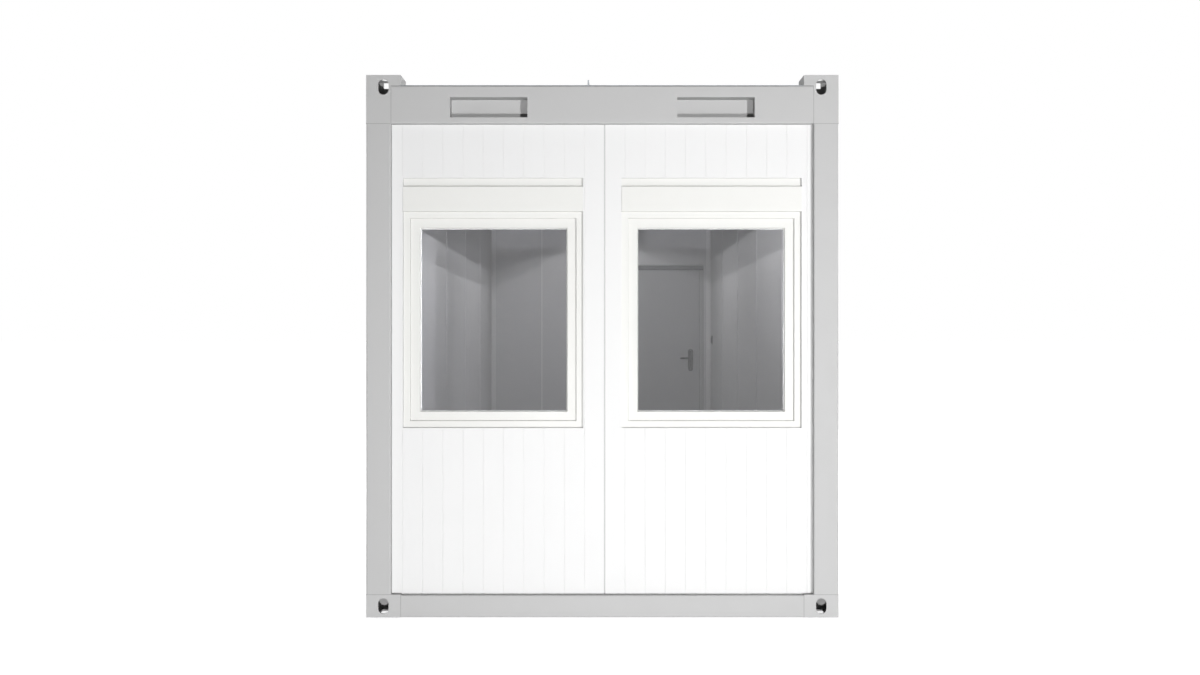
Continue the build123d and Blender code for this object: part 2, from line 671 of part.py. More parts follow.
def door_seal():
    """Rubber strip on the stop, up both jambs and across the head."""
    y0 = STOP_Y + SEAT
    x0, x1 = STOP_X0 + 2, STOP_X1 - 2
    z0 = SILL_STOP + 4
    band = block(x0 - 8, x1 + 8, y0, y0 + SEAL_T, z0, STOP_Z + 10)
    return band - block(x0, x1, y0 - 5, y0 + 10, z0 - 5, STOP_Z + 2)


def lock_outline(grow=0.0):
    """Lock cylinder section in (X, Z): round head over a narrow tail."""
    z = LEVER_Z - LOCK_DROP
    head = Pos(LEVER_X, z) * Circle(LOCK_R + grow)
    tail_h = LOCK_TAIL - LOCK_R + grow
    return head + Pos(LEVER_X, z - tail_h / 2) * Rectangle(LOCK_TAIL_W + 2 * grow, tail_h)


def door_leaf():
    leaf = block(LEAF_X0, LEAF_X1, LEAF_Y0, LEAF_Y1, LEAF_BOTTOM, LEAF_Z1)
    leaf = chamfer(leaf.edges().filter_by(Axis.Z), LEAF_EASE)
    spindle_hole = Circle(SPINDLE / math.sqrt(2) + SPINDLE_PLAY)
    leaf -= along_y(Pos(LEVER_X, LEVER_Z) * spindle_hole, LEAF_Y0 - 5, LEAF_Y1 + 5)
    return leaf - along_y(lock_outline(SEAT), LEAF_Y0 - 5, LEAF_Y1 + 5)


def lever_plate(y0, y1):
    """Long round-ended plate with the holes for the lever and the lock."""
    plate = along_y(upright_slot(LEVER_X, PLATE_Z, PLATE_W, PLATE_H), y0, y1)
    plate -= along_y(Pos(LEVER_X, LEVER_Z) * Circle(NECK_R + NECK_PLAY), y0 - 5, y1 + 5)
    return plate - along_y(lock_outline(SEAT), y0 - 5, y1 + 5)


def lever_half(face_y, out):
    """Neck and tapering grip on one side of the leaf, the grip's root rounded."""
    y_mid = face_y + out * LEVER_STAND
    y_root = face_y + out * SEAT
    neck = along_y(Pos(LEVER_X, LEVER_Z) * Circle(NECK_R), min(y_root, y_mid), max(y_root, y_mid))
    x_end = LEVER_X - LEVER_REACH
    half, tip = GRIP_H / 2, GRIP_TIP_H / 2
    plan = outline([(LEVER_X + half, LEVER_Z - half), (LEVER_X + half, LEVER_Z + half),
                    (x_end, LEVER_Z + tip), (x_end, LEVER_Z - tip)],
                   [half * 0.9, half * 0.9, 0, 0])
    grip = along_y(plan, y_mid - GRIP_T / 2, y_mid + GRIP_T / 2)
    return neck + chamfer(grip.edges().filter_by(Axis.Y).sort_by(Axis.X)[:2], GRIP_EASE)


def levers():
    spindle = along_y(Pos(LEVER_X, LEVER_Z) * Rectangle(SPINDLE, SPINDLE), LEAF_Y0 - LEVER_STAND,
                      LEAF_Y1 + LEVER_STAND)
    return spindle + lever_half(LEAF_Y1, 1) + lever_half(LEAF_Y0, -1)


node("door_frame", door_frame())
node("door_threshold", door_threshold())
node("door_seal", door_seal())
node("door_leaf", door_leaf())
node("door_plates", lever_plate(LEAF_Y0 - SEAT - PLATE_T, LEAF_Y0 - SEAT),
     lever_plate(LEAF_Y1 + SEAT, LEAF_Y1 + SEAT + PLATE_T))
node("lock_cylinder", along_y(lock_outline(), LEAF_Y0 - PLATE_T - 3, LEAF_Y1 + PLATE_T + 3))
node("door_levers", levers())

# ------------------------------------------------------------------ hinges
PIN_X = LEAF_X0 + HINGE_OFF_X
PIN_Y = FRAME_OUT_Y + HINGE_OFF_Y
HINGE_LOW = LEAF_BOTTOM + HINGE_MARGIN
HINGE_HIGH = LEAF_Z1 - HINGE_MARGIN
HINGE_Z = (HINGE_LOW, HINGE_HIGH)


def hinge_frame_half(z):
    """Lower knuckle with its pin and the flap on the door frame."""
    y0 = FRAME_OUT_Y + SEAT
    half = HINGE_H / 2
    plan = Pos(PIN_X, PIN_Y) * Circle(HINGE_R)
    y1 = y0 + HINGE_FLAP_T
    plan += outline([(PIN_X - HINGE_FRAME_FLAP, y0), (PIN_X - HINGE_R, y0), (PIN_X, PIN_Y - HINGE_R),
                     (PIN_X, PIN_Y), (PIN_X - HINGE_R, PIN_Y), (PIN_X - HINGE_R, y1),
                     (PIN_X - HINGE_FRAME_FLAP, y1)])
    knuckle = along_z(plan, z - half, z - 0.5)
    pin_top = z + half - 2 * HINGE_CAP
    return knuckle + along_z(Pos(PIN_X, PIN_Y) * Circle(HINGE_PIN_R), z - half, pin_top)


def hinge_leaf_half(z):
    """Upper knuckle, bored for the pin, and the flap on the door leaf."""
    y0 = LEAF_Y1 + SEAT
    half = HINGE_H / 2
    plan = Pos(PIN_X, PIN_Y) * Circle(HINGE_R)
    y1 = y0 + HINGE_FLAP_T
    x_bend = PIN_X + HINGE_R
    plan += outline([(x_bend - HINGE_FLAP_T, y0), (PIN_X + HINGE_LEAF_FLAP, y0),
                     (PIN_X + HINGE_LEAF_FLAP, y1), (x_bend, y1), (x_bend, PIN_Y), (PIN_X, PIN_Y),
                     (x_bend - HINGE_FLAP_T, PIN_Y)])
    knuckle = along_z(plan, z + 0.5, z + half)
    bore = Pos(PIN_X, PIN_Y) * Circle(HINGE_PIN_R + HINGE_PLAY)
    return knuckle - along_z(bore, z - 5, z + half - HINGE_CAP)


node("hinge_frame_halves", *[hinge_frame_half(z) for z in HINGE_Z])
node("hinge_leaf_halves", *[hinge_leaf_half(z) for z in HINGE_Z])


# ------------------------------------------------------------------ roof and ceiling
def ceiling_panels():
    """Boards lying on the lips of the roof frame, cut back round the corner fittings."""
    z1 = CEILING_Z + CEILING_T
    edge = WX_IN + BEAM_T - SEAT
    y_fit = HY - POST_W - SEAT
    x_fit = HX - POST_W - SEAT
    step = 2 * y_fit / PANEL_COUNT
    boards = []
    for k in range(PANEL_COUNT):
        y0 = -y_fit + k * step
        boards.append(block(-edge, edge, y0 + BOARD_GAP, y0 + step - BOARD_GAP, CEILING_Z, z1))
    short = block(-x_fit, x_fit, y_fit - BOARD_GAP + SEAT, WY_IN + BEAM_T - SEAT, CEILING_Z, z1)
    return boards + [short, flip_y(short)]


JOIST_Z0 = CEILING_Z + CEILING_T + SEAT
joist_end = HX - BEAM_T - BEND_R - SEAT
joists = [along_x(channel(y, JOIST_W, JOIST_Z0, JOIST_Z0 + JOIST_H, JOIST_T), -joist_end, joist_end)
          for y in spread(JOIST_COUNT, 2 * WY_IN)]

sheets = three_lengths(HX - 1, HY - 1, ROOF_Z1 + SEAT, ROOF_Z1 + SEAT + ROOF_SHEET_T)
seam_z0 = ROOF_Z1 + 2 * SEAT + ROOF_SHEET_T
seam = along_y(outline([(SEAM_X - 14, seam_z0), (SEAM_X + 14, seam_z0), (SEAM_X + 14, seam_z0 + 1.5),
                        (SEAM_X + 2, seam_z0 + 1.5), (SEAM_X + 2, SEAM_TOP - 17),
                        (SEAM_X + SEAM_W / 2, SEAM_TOP - 17), (SEAM_X + SEAM_W / 2, SEAM_TOP),
                        (SEAM_X - SEAM_W / 2, SEAM_TOP), (SEAM_X - SEAM_W / 2, SEAM_TOP - 17),
                        (SEAM_X - 2, SEAM_TOP - 17), (SEAM_X - 2, seam_z0 + 1.5),
                        (SEAM_X - 14, seam_z0 + 1.5)]), -(HY - 4), HY - 4)
node("ceiling_panels", *ceiling_panels())
node("roof_cross_members", *joists)
node("roof_sheet", *sheets, seam)


# ------------------------------------------------------------------ room fittings
def corner_trim():
    x1, y1 = WX_IN - SEAT, WY_IN - SEAT
    points = [(x1 - TRIM_LEG, y1), (x1, y1), (x1, y1 - TRIM_LEG)]
    return along_z(folded(points, TRIM_T), FLOOR_Z + SEAT, ROOF_Z0 - SEAT)


def rear_strip(x):
    y1 = WY_IN - SEAT
    return block(x - STRIP_W / 2, x + STRIP_W / 2, y1 - STRIP_T, y1,
                 FLOOR_Z + SKIRT_H + 2 * SEAT, ROOF_Z0 - SEAT)


def side_strip(y):
    x1 = WX_IN - SEAT
    return block(x1 - STRIP_T, x1, y - STRIP_W / 2, y + STRIP_W / 2,
                 FLOOR_Z + SKIRT_H + 2 * SEAT, ROOF_Z0 - SEAT)


def skirt_section(face):
    """Skirting with a splayed top, its back against the wall."""
    z0, z1 = FLOOR_Z + SEAT, FLOOR_Z + SEAT + SKIRT_H
    return outline([(face - SKIRT_T, z0), (face, z0), (face, z1), (face - SKIRT_T + 6, z1),
                    (face - SKIRT_T, z1 - 10)])


inset = TRIM_LEG + 3
side_skirt = along_y(skirt_section(WX_IN - SEAT), -(WY_IN - inset), WY_IN - inset)
end_skirt = skirt_section(WY_IN - SEAT)
skirts = [side_skirt, flip_x(side_skirt),
          flip_y(along_x(end_skirt, -(WX_IN - inset), WX_IN - inset)),
          along_x(end_skirt, -(WX_IN - inset), DOOR_X0 - 1)]

switch_y = WY_IN - SWITCH_FROM_REAR
switch_face = Plane((WX_IN - SEAT, switch_y, SWITCH_Z), x_dir=(0, 1, 0), z_dir=(-1, 0, 0))
switch = extrude(switch_face * Rectangle(SWITCH_SIZE, SWITCH_SIZE), SWITCH_T)
switch = chamfer(switch.faces().sort_by(Axis.X)[0].edges(), SWITCH_T / 3)
rocker = switch_face * Rectangle(SWITCH_SIZE * 2 / 3, SWITCH_SIZE * 2 / 3)
switch += extrude(rocker, SWITCH_T + 3)

node("corner_trims", *four(corner_trim()))
node("joint_strips", rear_strip(REAR_JOINT_X), flip_y(rear_strip(FRONT_JOINT_X)),
     *[side_strip(y) for y in side_joints()], *[flip_x(side_strip(y)) for y in side_joints()])
node("skirting", *skirts)
node("light_switch", switch)

# ------------------------------------------------------------------ files
os.makedirs("parts", exist_ok=True)
for name, shape in NODES.items():
    export_step(shape, "parts/" + name + ".step")
print(len(NODES), "nodes")
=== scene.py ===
"""Looks of the portable site cabin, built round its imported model.

Every size is in metres, in the model's own frame: X across the front, Y from the front wall to
the door wall and Z up from the ground.
"""

import logging
import math
from dataclasses import dataclass, field
from enum import Enum
from typing import Any, Iterable, Sequence

import bmesh
import bpy
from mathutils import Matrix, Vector


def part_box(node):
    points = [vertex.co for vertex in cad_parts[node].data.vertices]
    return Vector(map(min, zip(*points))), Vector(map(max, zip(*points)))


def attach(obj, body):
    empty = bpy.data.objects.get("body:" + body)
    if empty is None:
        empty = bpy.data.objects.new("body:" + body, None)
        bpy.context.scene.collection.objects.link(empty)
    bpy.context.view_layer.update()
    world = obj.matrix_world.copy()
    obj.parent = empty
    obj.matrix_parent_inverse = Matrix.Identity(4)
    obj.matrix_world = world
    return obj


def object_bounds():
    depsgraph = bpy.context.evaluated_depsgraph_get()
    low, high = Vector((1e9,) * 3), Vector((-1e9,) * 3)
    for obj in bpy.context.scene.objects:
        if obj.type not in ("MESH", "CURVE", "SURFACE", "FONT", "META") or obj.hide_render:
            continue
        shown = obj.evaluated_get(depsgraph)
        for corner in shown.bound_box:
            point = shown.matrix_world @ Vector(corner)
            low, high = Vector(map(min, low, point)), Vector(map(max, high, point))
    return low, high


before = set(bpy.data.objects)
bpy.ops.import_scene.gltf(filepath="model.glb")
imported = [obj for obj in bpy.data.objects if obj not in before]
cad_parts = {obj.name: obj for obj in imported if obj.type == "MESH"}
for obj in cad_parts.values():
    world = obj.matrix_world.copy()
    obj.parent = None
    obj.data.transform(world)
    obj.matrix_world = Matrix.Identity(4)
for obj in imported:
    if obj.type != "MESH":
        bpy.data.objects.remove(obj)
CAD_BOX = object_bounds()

LOG = logging.getLogger("site_cabin")
MM = 0.001
X, Y, Z = Vector((1, 0, 0)), Vector((0, 1, 0)), Vector((0, 0, 1))
ROOM_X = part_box("right_wall_panels")[0].x + 2 * MM         # just past the boards on the walls
ROOM_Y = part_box("rear_hinge_side_panels")[0].y + 2 * MM
NOISE_SPAN = (0.3, 0.7)     # nearly all values of a noise texture lie between these
LOBES, LOBE_DEPTH = 6, 0.16     # driver recess of a screw
SMOOTH_DEG = 35.0               # edges flatter than this are shaded smooth

Socket = bpy.types.NodeSocket
Piece = bpy.types.Object
Point = tuple[float, float, float]
Outline = Sequence[tuple[float, float]]
Floats = tuple[float, ...]
Names = tuple[str, ...]


class Body(str, Enum):
    """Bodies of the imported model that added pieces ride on."""

    CABIN = "cabin"
    DOOR = "door"


class Slot(str, Enum):
    """Material slots of the record, named for the added pieces; nothing here reads them."""

    TRIM = "trim_white"
    HINGE = "hinge_steel"
    BLACK = "hardware_black"
    FRAME = "frame_steel"
    RUBBER = "seal_rubber"
    ROOF = "roof_metal"


# ---- small tools
def linear(colour: str, share: float = 1.0) -> Floats:
    """Turn an sRGB hex colour to the linear values that shaders take.

    Args:
        colour: Hex digits with a leading hash, such as "#F4F4F2".
        share: How much of the colour's light is kept.

    Returns:
        Red, green, blue and an alpha of 1.
    """
    parts = [int(colour[i:i + 2], 16) / 255 for i in (1, 3, 5)]
    light = [c / 12.92 if c <= 0.04045 else ((c + 0.055) / 1.055) ** 2.4 for c in parts]
    return tuple(c * share for c in light) + (1.0,)


@dataclass(frozen=True)
class Bench:
    """Where shaders are wired: a node tree, and the coordinates on the piece in metres."""

    tree: bpy.types.NodeTree
    place: Socket | None = None

    def add(self, kind: str, inputs: dict[Any, Any] | None = None, **settings: Any) -> Any:
        """Add a node with its settings, values and links.

        Args:
            kind: Blender's type name of the node, without the ShaderNode that it starts with.
            inputs: Value or linked socket for each input, by its name or number.
            settings: Values of the node's own properties.

        Returns:
            The new node.
        """
        made = self.tree.nodes.new("ShaderNode" + kind)
        for key, value in settings.items():
            setattr(made, key, value)
        for key, value in (inputs or {}).items():
            if isinstance(value, Socket):
                self.tree.links.new(value, made.inputs[key])
            else:
                made.inputs[key].default_value = value
        return made


def per_metre(size_mm: float) -> float:
    """Return the texture scale whose cells measure size_mm."""
    return 1000.0 / size_mm


def place_in_scene(name: str, data: bpy.types.ID, place: Sequence[float] = (0, 0, 0)) -> Piece:
    """Make an object for a mesh, light or camera and link it to the scene.

    Args:
        name: Name of the object.
        data: The mesh, light or camera.
        place: Where its origin stands.

    Returns:
        The new object.
    """
    made = bpy.data.objects.new(name, data)
    made.location = place
    bpy.context.scene.collection.objects.link(made)
    return made


# ---- finishes
@dataclass(frozen=True)
class Finish:
    """A real surface: its colour, its shine and the grain that its making leaves."""

    name: str
    colour: str
    roughness: float = 0.5
    metallic: float = 0.0
    specular: float = 0.5
    shade: float = 0.02
    shade_mm: float = 350.0
    grain_mm: float = 2.0
    grain_depth_mm: float = 0.02
    grain_detail: float = 2.0
    smear_mm: float = 120.0
    smear: float = 0.04
    room_bounce: float = 0.25
    open_bounce: float = 0.6

    def material(self) -> bpy.types.Material:
        """Build the node material, or return the one made before.

        Returns:
            The finished material.
        """
        made = bpy.data.materials.get(self.name)
        if made is not None:
            return made
        made = bpy.data.materials.new(self.name)
        made.use_nodes = True
        bench = Bench(made.node_tree)
        bench.tree.nodes.clear()
        place = bench.add("TexCoord").outputs["Object"]
        bench.add("OutputMaterial", {"Surface": self.surface(Bench(bench.tree, place))})
        return made

    def surface(self, bench: Bench) -> Socket:
        """Wire the shader of the finish.

        Args:
            bench: Where it is wired.

        Returns:
            The shader socket.
        """
        return bench.add("BsdfPrincipled", {
            "Base Color": self.calmed(bench, self.tint(bench)),
            "Roughness": self.shine(bench),
            "Metallic": self.metallic,
            "Specular IOR Level": self.specular,
            "Normal": self.relief(bench),
        }).outputs["BSDF"]

    def calmed(self, bench: Bench, colour: Socket) -> Socket:
        """Hold back the light that pale surfaces throw on one another, most of all in the room.

        Args:
            bench: Where it is wired.
            colour: The finish's own colour.

        Returns:
            That colour, darker for light that arrives from another matt surface.
        """
        rays = bench.add("LightPath").outputs
        kept = bench.add("MapRange", {
            "Value": in_room(bench), "To Min": self.open_bounce, "To Max": self.room_bounce})
        share = bench.add("MapRange", {
            "Value": rays["Is Diffuse Ray"], "To Min": 1.0, "To Max": kept.outputs["Result"]})
        return bench.add("VectorMath", {
            0: colour, "Scale": share.outputs["Result"]}, operation="SCALE").outputs["Vector"]

    def tint(self, bench: Bench) -> Socket:
        """Colour with the slow, faint unevenness of a real coat.

        Args:
            bench: Where it is wired.

        Returns:
            The colour socket.
        """
        cloud = bench.add("TexNoise", {
            "Vector": bench.place, "Scale": per_metre(self.shade_mm), "Detail": 3.0,
            "Roughness": 0.55})
        return bench.add("Mix", {
            "Factor": cloud.outputs["Fac"], "A": linear(self.colour, 1 - self.shade),
            "B": linear(self.colour)}, data_type="RGBA").outputs["Result"]

    def shine(self, bench: Bench) -> Socket:
        """Roughness that wanders a little from hand marks and dust.

        Args:
            bench: Where it is wired.

        Returns:
            The roughness socket.
        """
        smear = bench.add("TexNoise", {
            "Vector": bench.place, "Scale": per_metre(self.smear_mm), "Detail": 4.0})
        return bench.add("MapRange", {
            "Value": smear.outputs["Fac"], "From Min": NOISE_SPAN[0], "From Max": NOISE_SPAN[1],
            "To Min": self.roughness - self.smear,
            "To Max": self.roughness + self.smear}).outputs["Result"]

    def relief(self, bench: Bench) -> Socket:
        """Normal of the fine grain.

        Args:
            bench: Where it is wired.

        Returns:
            The normal socket.
        """
        grain = bench.add("TexNoise", {
            "Vector": bench.place, "Scale": per_metre(self.grain_mm),
            "Detail": self.grain_detail})
        return bench.add("Bump", {
            "Height": grain.outputs["Fac"],
            "Distance": self.grain_depth_mm * MM}).outputs["Normal"]


@dataclass(frozen=True)
class SprayedSteel(Finish):
    """Frame steel sprayed with grey machine paint.

    Air-sprayed alkyd paint dries satin, with a shallow orange peel about 3 mm across.
    """

    name: str = "grey_sprayed_steel"
    colour: str = "#C7C7C7"
    roughness: float = 0.55
    specular: float = 0.3
    grain_mm: float = 3.0
    grain_depth_mm: float = 0.03


@dataclass(frozen=True)
class CoilCoatedSteel(Finish):
    """Wall skin of zinc-coated sheet with a white polyester coat, baked on flat at the mill.

    The coat is even and satin, and a fine leather grain keeps it from glaring.
    """

    name: str = "white_coil_coated_steel"
    colour: str = "#F4F4F4"
    specular: float = 0.3
    shade: float = 0.01
    shade_mm: float = 600.0
    grain_mm: float = 1.2
    grain_depth_mm: float = 0.01


@dataclass(frozen=True)
class SandwichPanel(CoilCoatedSteel):
    """Insulated wall panel: coil-coated steel outside and a laminated board in the room.

    The board's melamine film is a shade greyer and colder than the steel's coat.
    """

    name: str = "white_sandwich_panel"
    board: str = "#D4D4D5"

    def tint(self, bench: Bench) -> Socket:
        """Steel's white on the outer faces, the board's on the faces inside the room's outline.

        Args:
            bench: Where it is wired.

        Returns:
            The colour socket.
        """
        outside = super().tint(bench)
        return bench.add("Mix", {
            "Factor": in_room(bench), "A": outside, "B": linear(self.board)},
            data_type="RGBA").outputs["Result"]


@dataclass(frozen=True)
class ExtrudedPvc(Finish):
    """White window PVC, extruded through a polished die.

    It is a little warm in colour, smooth, and faintly drawn along its length.
    """

    name: str = "white_extruded_pvc"
    colour: str = "#F1F1EE"
    roughness: float = 0.4
    specular: float = 0.35
    shade: float = 0.008
    grain_mm: float = 6.0
    grain_depth_mm: float = 0.01


@dataclass(frozen=True)
class MouldedPlastic(Finish):
    """Injection-moulded plastic with a spark-eroded texture of about half a millimetre."""

    roughness: float = 0.42
    shade: float = 0.015
    shade_mm: float = 60.0
    grain_mm: float = 0.5
    grain_depth_mm: float = 0.015


@dataclass(frozen=True)
class BakedPaint(Finish):
    """Light grey stoving enamel on door steel, a little glossier than the walls."""

    name: str = "light_grey_stoved_steel"
    colour: str = "#AEAFB0"
    roughness: float = 0.42
    specular: float = 0.4
    shade: float = 0.01
    grain_depth_mm: float = 0.012


@dataclass(frozen=True)
class GalvanisedSheet(Finish):
    """Hot-dip galvanised steel, whose zinc freezes in flat crystals called spangle."""

    name: str = "galvanised_steel"
    colour: str = "#B9BDBF"
    roughness: float = 0.45
    metallic: float = 1.0
    spangle_mm: float = 14.0
    dark_share: float = 0.86
    light_share: float = 1.06

    def tint(self, bench: Bench) -> Socket:
        """Each crystal takes its own shade of zinc grey.

        Args:
            bench: Where it is wired.

        Returns:
            The colour socket.
        """
        cells = bench.add("TexVoronoi", {
            "Vector": bench.place, "Scale": per_metre(self.spangle_mm)})
        grey = bench.add("SeparateColor", {"Color": cells.outputs["Color"]})
        return bench.add("Mix", {
            "Factor": grey.outputs["Red"], "A": linear(self.colour, self.dark_share),
            "B": linear(self.colour, self.light_share)}, data_type="RGBA").outputs["Result"]


@dataclass(frozen=True)
class BrushedMetal(Finish):
    """Plated or drawn metal with fine scratches along one axis."""

    metallic: float = 1.0
    roughness: float = 0.35
    grain_mm: float = 0.8
    grain_depth_mm: float = 0.01
    grain_detail: float = 1.0
    stretch: float = 30.0

    def relief(self, bench: Bench) -> Socket:
        """Scratches drawn long along Z, coarser than real ones so that they show.

        Args:
            bench: Where it is wired.

        Returns:
            The normal socket.
        """
        longer = bench.add("Mapping", {
            "Vector": bench.place, "Scale": (1.0, 1.0, 1.0 / self.stretch)})
        return super().relief(Bench(bench.tree, longer.outputs["Vector"]))


@dataclass(frozen=True)
class PressedChipboard(Finish):
    """Bare chipboard: pale wood chips of a few millimetres pressed in glue."""

    name: str = "pressed_chipboard"
    colour: str = "#C9AC7E"
    roughness: float = 0.8
    dark_chip: str = "#9C7C4E"
    chip_mm: float = 5.0

    def tint(self, bench: Bench) -> Socket:
        """Chips of light and dark wood.

        Args:
            bench: Where it is wired.

        Returns:
            The colour socket.
        """
        chips = bench.add("TexVoronoi", {"Vector": bench.place, "Scale": per_metre(self.chip_mm)})
        part = bench.add("SeparateColor", {"Color": chips.outputs["Color"]})
        return bench.add("Mix", {
            "Factor": part.outputs["Green"], "A": linear(self.dark_chip),
            "B": linear(self.colour)}, data_type="RGBA").outputs["Result"]


@dataclass(frozen=True)
class SpeckledVinyl(Finish):
    """Sheet vinyl, calendered smooth, with light and dark specks of about 3 mm."""

    name: str = "grey_speckled_vinyl"
    colour: str = "#9DA0A2"
    roughness: float = 0.45
    dark_speck: str = "#75787B"
    light_speck: str = "#C4C6C8"
    speck_mm: float = 3.0

    def tint(self, bench: Bench) -> Socket:
        """Specks printed into the grey.

        Args:
            bench: Where it is wired.

        Returns:
            The colour socket.
        """
        specks = bench.add("TexNoise", {
            "Vector": bench.place, "Scale": per_metre(self.speck_mm), "Detail": 2.0})
        ramp = bench.add("ValToRGB", {"Fac": specks.outputs["Fac"]})
        low, high = ramp.color_ramp.elements
        low.position, low.color = 0.38, linear(self.dark_speck)
        high.position, high.color = 0.62, linear(self.light_speck)
        ramp.color_ramp.elements.new(0.5).color = linear(self.colour)
        return ramp.outputs["Color"]


@dataclass(frozen=True)
class FloatGlass(Finish):
    """Clear low-iron float glass with a low-reflection coat.

    It is flat and colourless, and lets lamp light straight through.
    """

    name: str = "clear_float_glass"
    colour: str = "#FCFCFD"
    mirror: float = 0.2
    lamp_tint: str = "#ECECEE"
    haze_mm: float = 90.0
    haze: float = 0.012

    def surface(self, bench: Bench) -> Socket:
        """Smooth glass that lets the light of lamps straight through.

        Args:
            bench: Where it is wired.

        Returns:
            The shader socket.
        """
        haze = bench.add("TexNoise", {
            "Vector": bench.place, "Scale": per_metre(self.haze_mm), "Detail": 2.0})
        film = bench.add("MapRange", {"Value": haze.outputs["Fac"], "To Max": self.haze})
        glass = bench.add("BsdfPrincipled", {
            "Base Color": linear(self.colour), "Roughness": film.outputs["Result"], "IOR": 1.45,
            "Specular IOR Level": self.mirror, "Transmission Weight": 1.0})
        clear = bench.add("BsdfTransparent", {"Color": linear(self.lamp_tint)})
        rays = bench.add("LightPath").outputs
        return bench.add("MixShader", {
            0: rays["Is Shadow Ray"], 1: glass.outputs["BSDF"],
            2: clear.outputs["BSDF"]}).outputs["Shader"]


@dataclass(frozen=True)
class StudioFloor(Finish):
    """Matt white studio floor that stays white to the horizon and keeps a soft shadow."""

    name: str = "matt_studio_floor"
    colour: str = "#E6E6E6"
    near_glow: float = 0.84
    near_m: float = 4.0
    far_m: float = 9.0

    def surface(self, bench: Bench) -> Socket:
        """Matt coat with a plain glow that only sight lines and reflections see.

        Args:
            bench: Where it is wired.

        Returns:
            The shader socket.
        """
        matt = bench.add("BsdfDiffuse", {"Color": linear(self.colour)})
        away = bench.add("VectorMath", {0: bench.place}, operation="LENGTH")
        glow = bench.add("MapRange", {
            "Value": away.outputs["Value"], "From Min": self.near_m, "From Max": self.far_m,
            "To Min": self.near_glow})
        seen = seen_rays(bench)
        strength = bench.add("Math", {0: glow.outputs["Result"], 1: seen}, operation="MULTIPLY")
        light = bench.add("Emission", {"Strength": strength.outputs["Value"]})
        both = bench.add("AddShader", {0: matt.outputs["BSDF"], 1: light.outputs["Emission"]})
        plain = bench.add("Emission", {"Strength": seen})
        rays = bench.add("LightPath").outputs
        return bench.add("MixShader", {
            0: rays["Is Glossy Ray"], 1: both.outputs["Shader"],
            2: plain.outputs["Emission"]}).outputs["Shader"]


def in_room(bench: Bench) -> Socket:
    """Return a socket that is 1 on surfaces inside the outline of the room and 0 outside it.

    Args:
        bench: Where it is wired.

    Returns:
        The socket.
    """
    axes = bench.add("SeparateXYZ", {"Vector": bench.place})
    inside: list[Socket] = []
    for axis, limit in (("X", ROOM_X), ("Y", ROOM_Y)):
        reach = bench.add("Math", {0: axes.outputs[axis]}, operation="ABSOLUTE")
        within = bench.add("Math", {0: reach.outputs["Value"], 1: limit}, operation="LESS_THAN")
        inside.append(within.outputs["Value"])
    return bench.add("Math", {0: inside[0], 1: inside[1]}, operation="MULTIPLY").outputs["Value"]


def seen_rays(bench: Bench) -> Socket:
    """Return a socket that is 1 on sight lines, in reflections and through glass.

    Light that a matt surface has scattered doesn't count, so that the white surroundings don't
    shine into the room through its windows.

    Args:
        bench: Where it is wired.

    Returns:
        The socket.
    """
    rays = bench.add("LightPath").outputs
    direct = bench.add("Math", {0: rays["Diffuse Depth"], 1: 0.5}, operation="LESS_THAN")
    seen = rays["Is Camera Ray"]
    for other, operation in ((rays["Is Glossy Ray"], "MAXIMUM"),
                             (rays["Is Transmission Ray"], "MAXIMUM"),
                             (direct.outputs["Value"], "MULTIPLY")):
        seen = bench.add("Math", {0: seen, 1: other}, operation=operation).outputs["Value"]
    return seen


def dress(finish: Finish, *nodes: str) -> None:
    """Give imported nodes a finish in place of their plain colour.

    Args:
        finish: The finish that they take.
        nodes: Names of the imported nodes.
    """
    material = finish.material()
    for name in nodes:
        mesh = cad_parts[name].data
        mesh.materials.clear()
        mesh.materials.append(material)
        LOG.info("%s dressed in %s", name, finish.name)


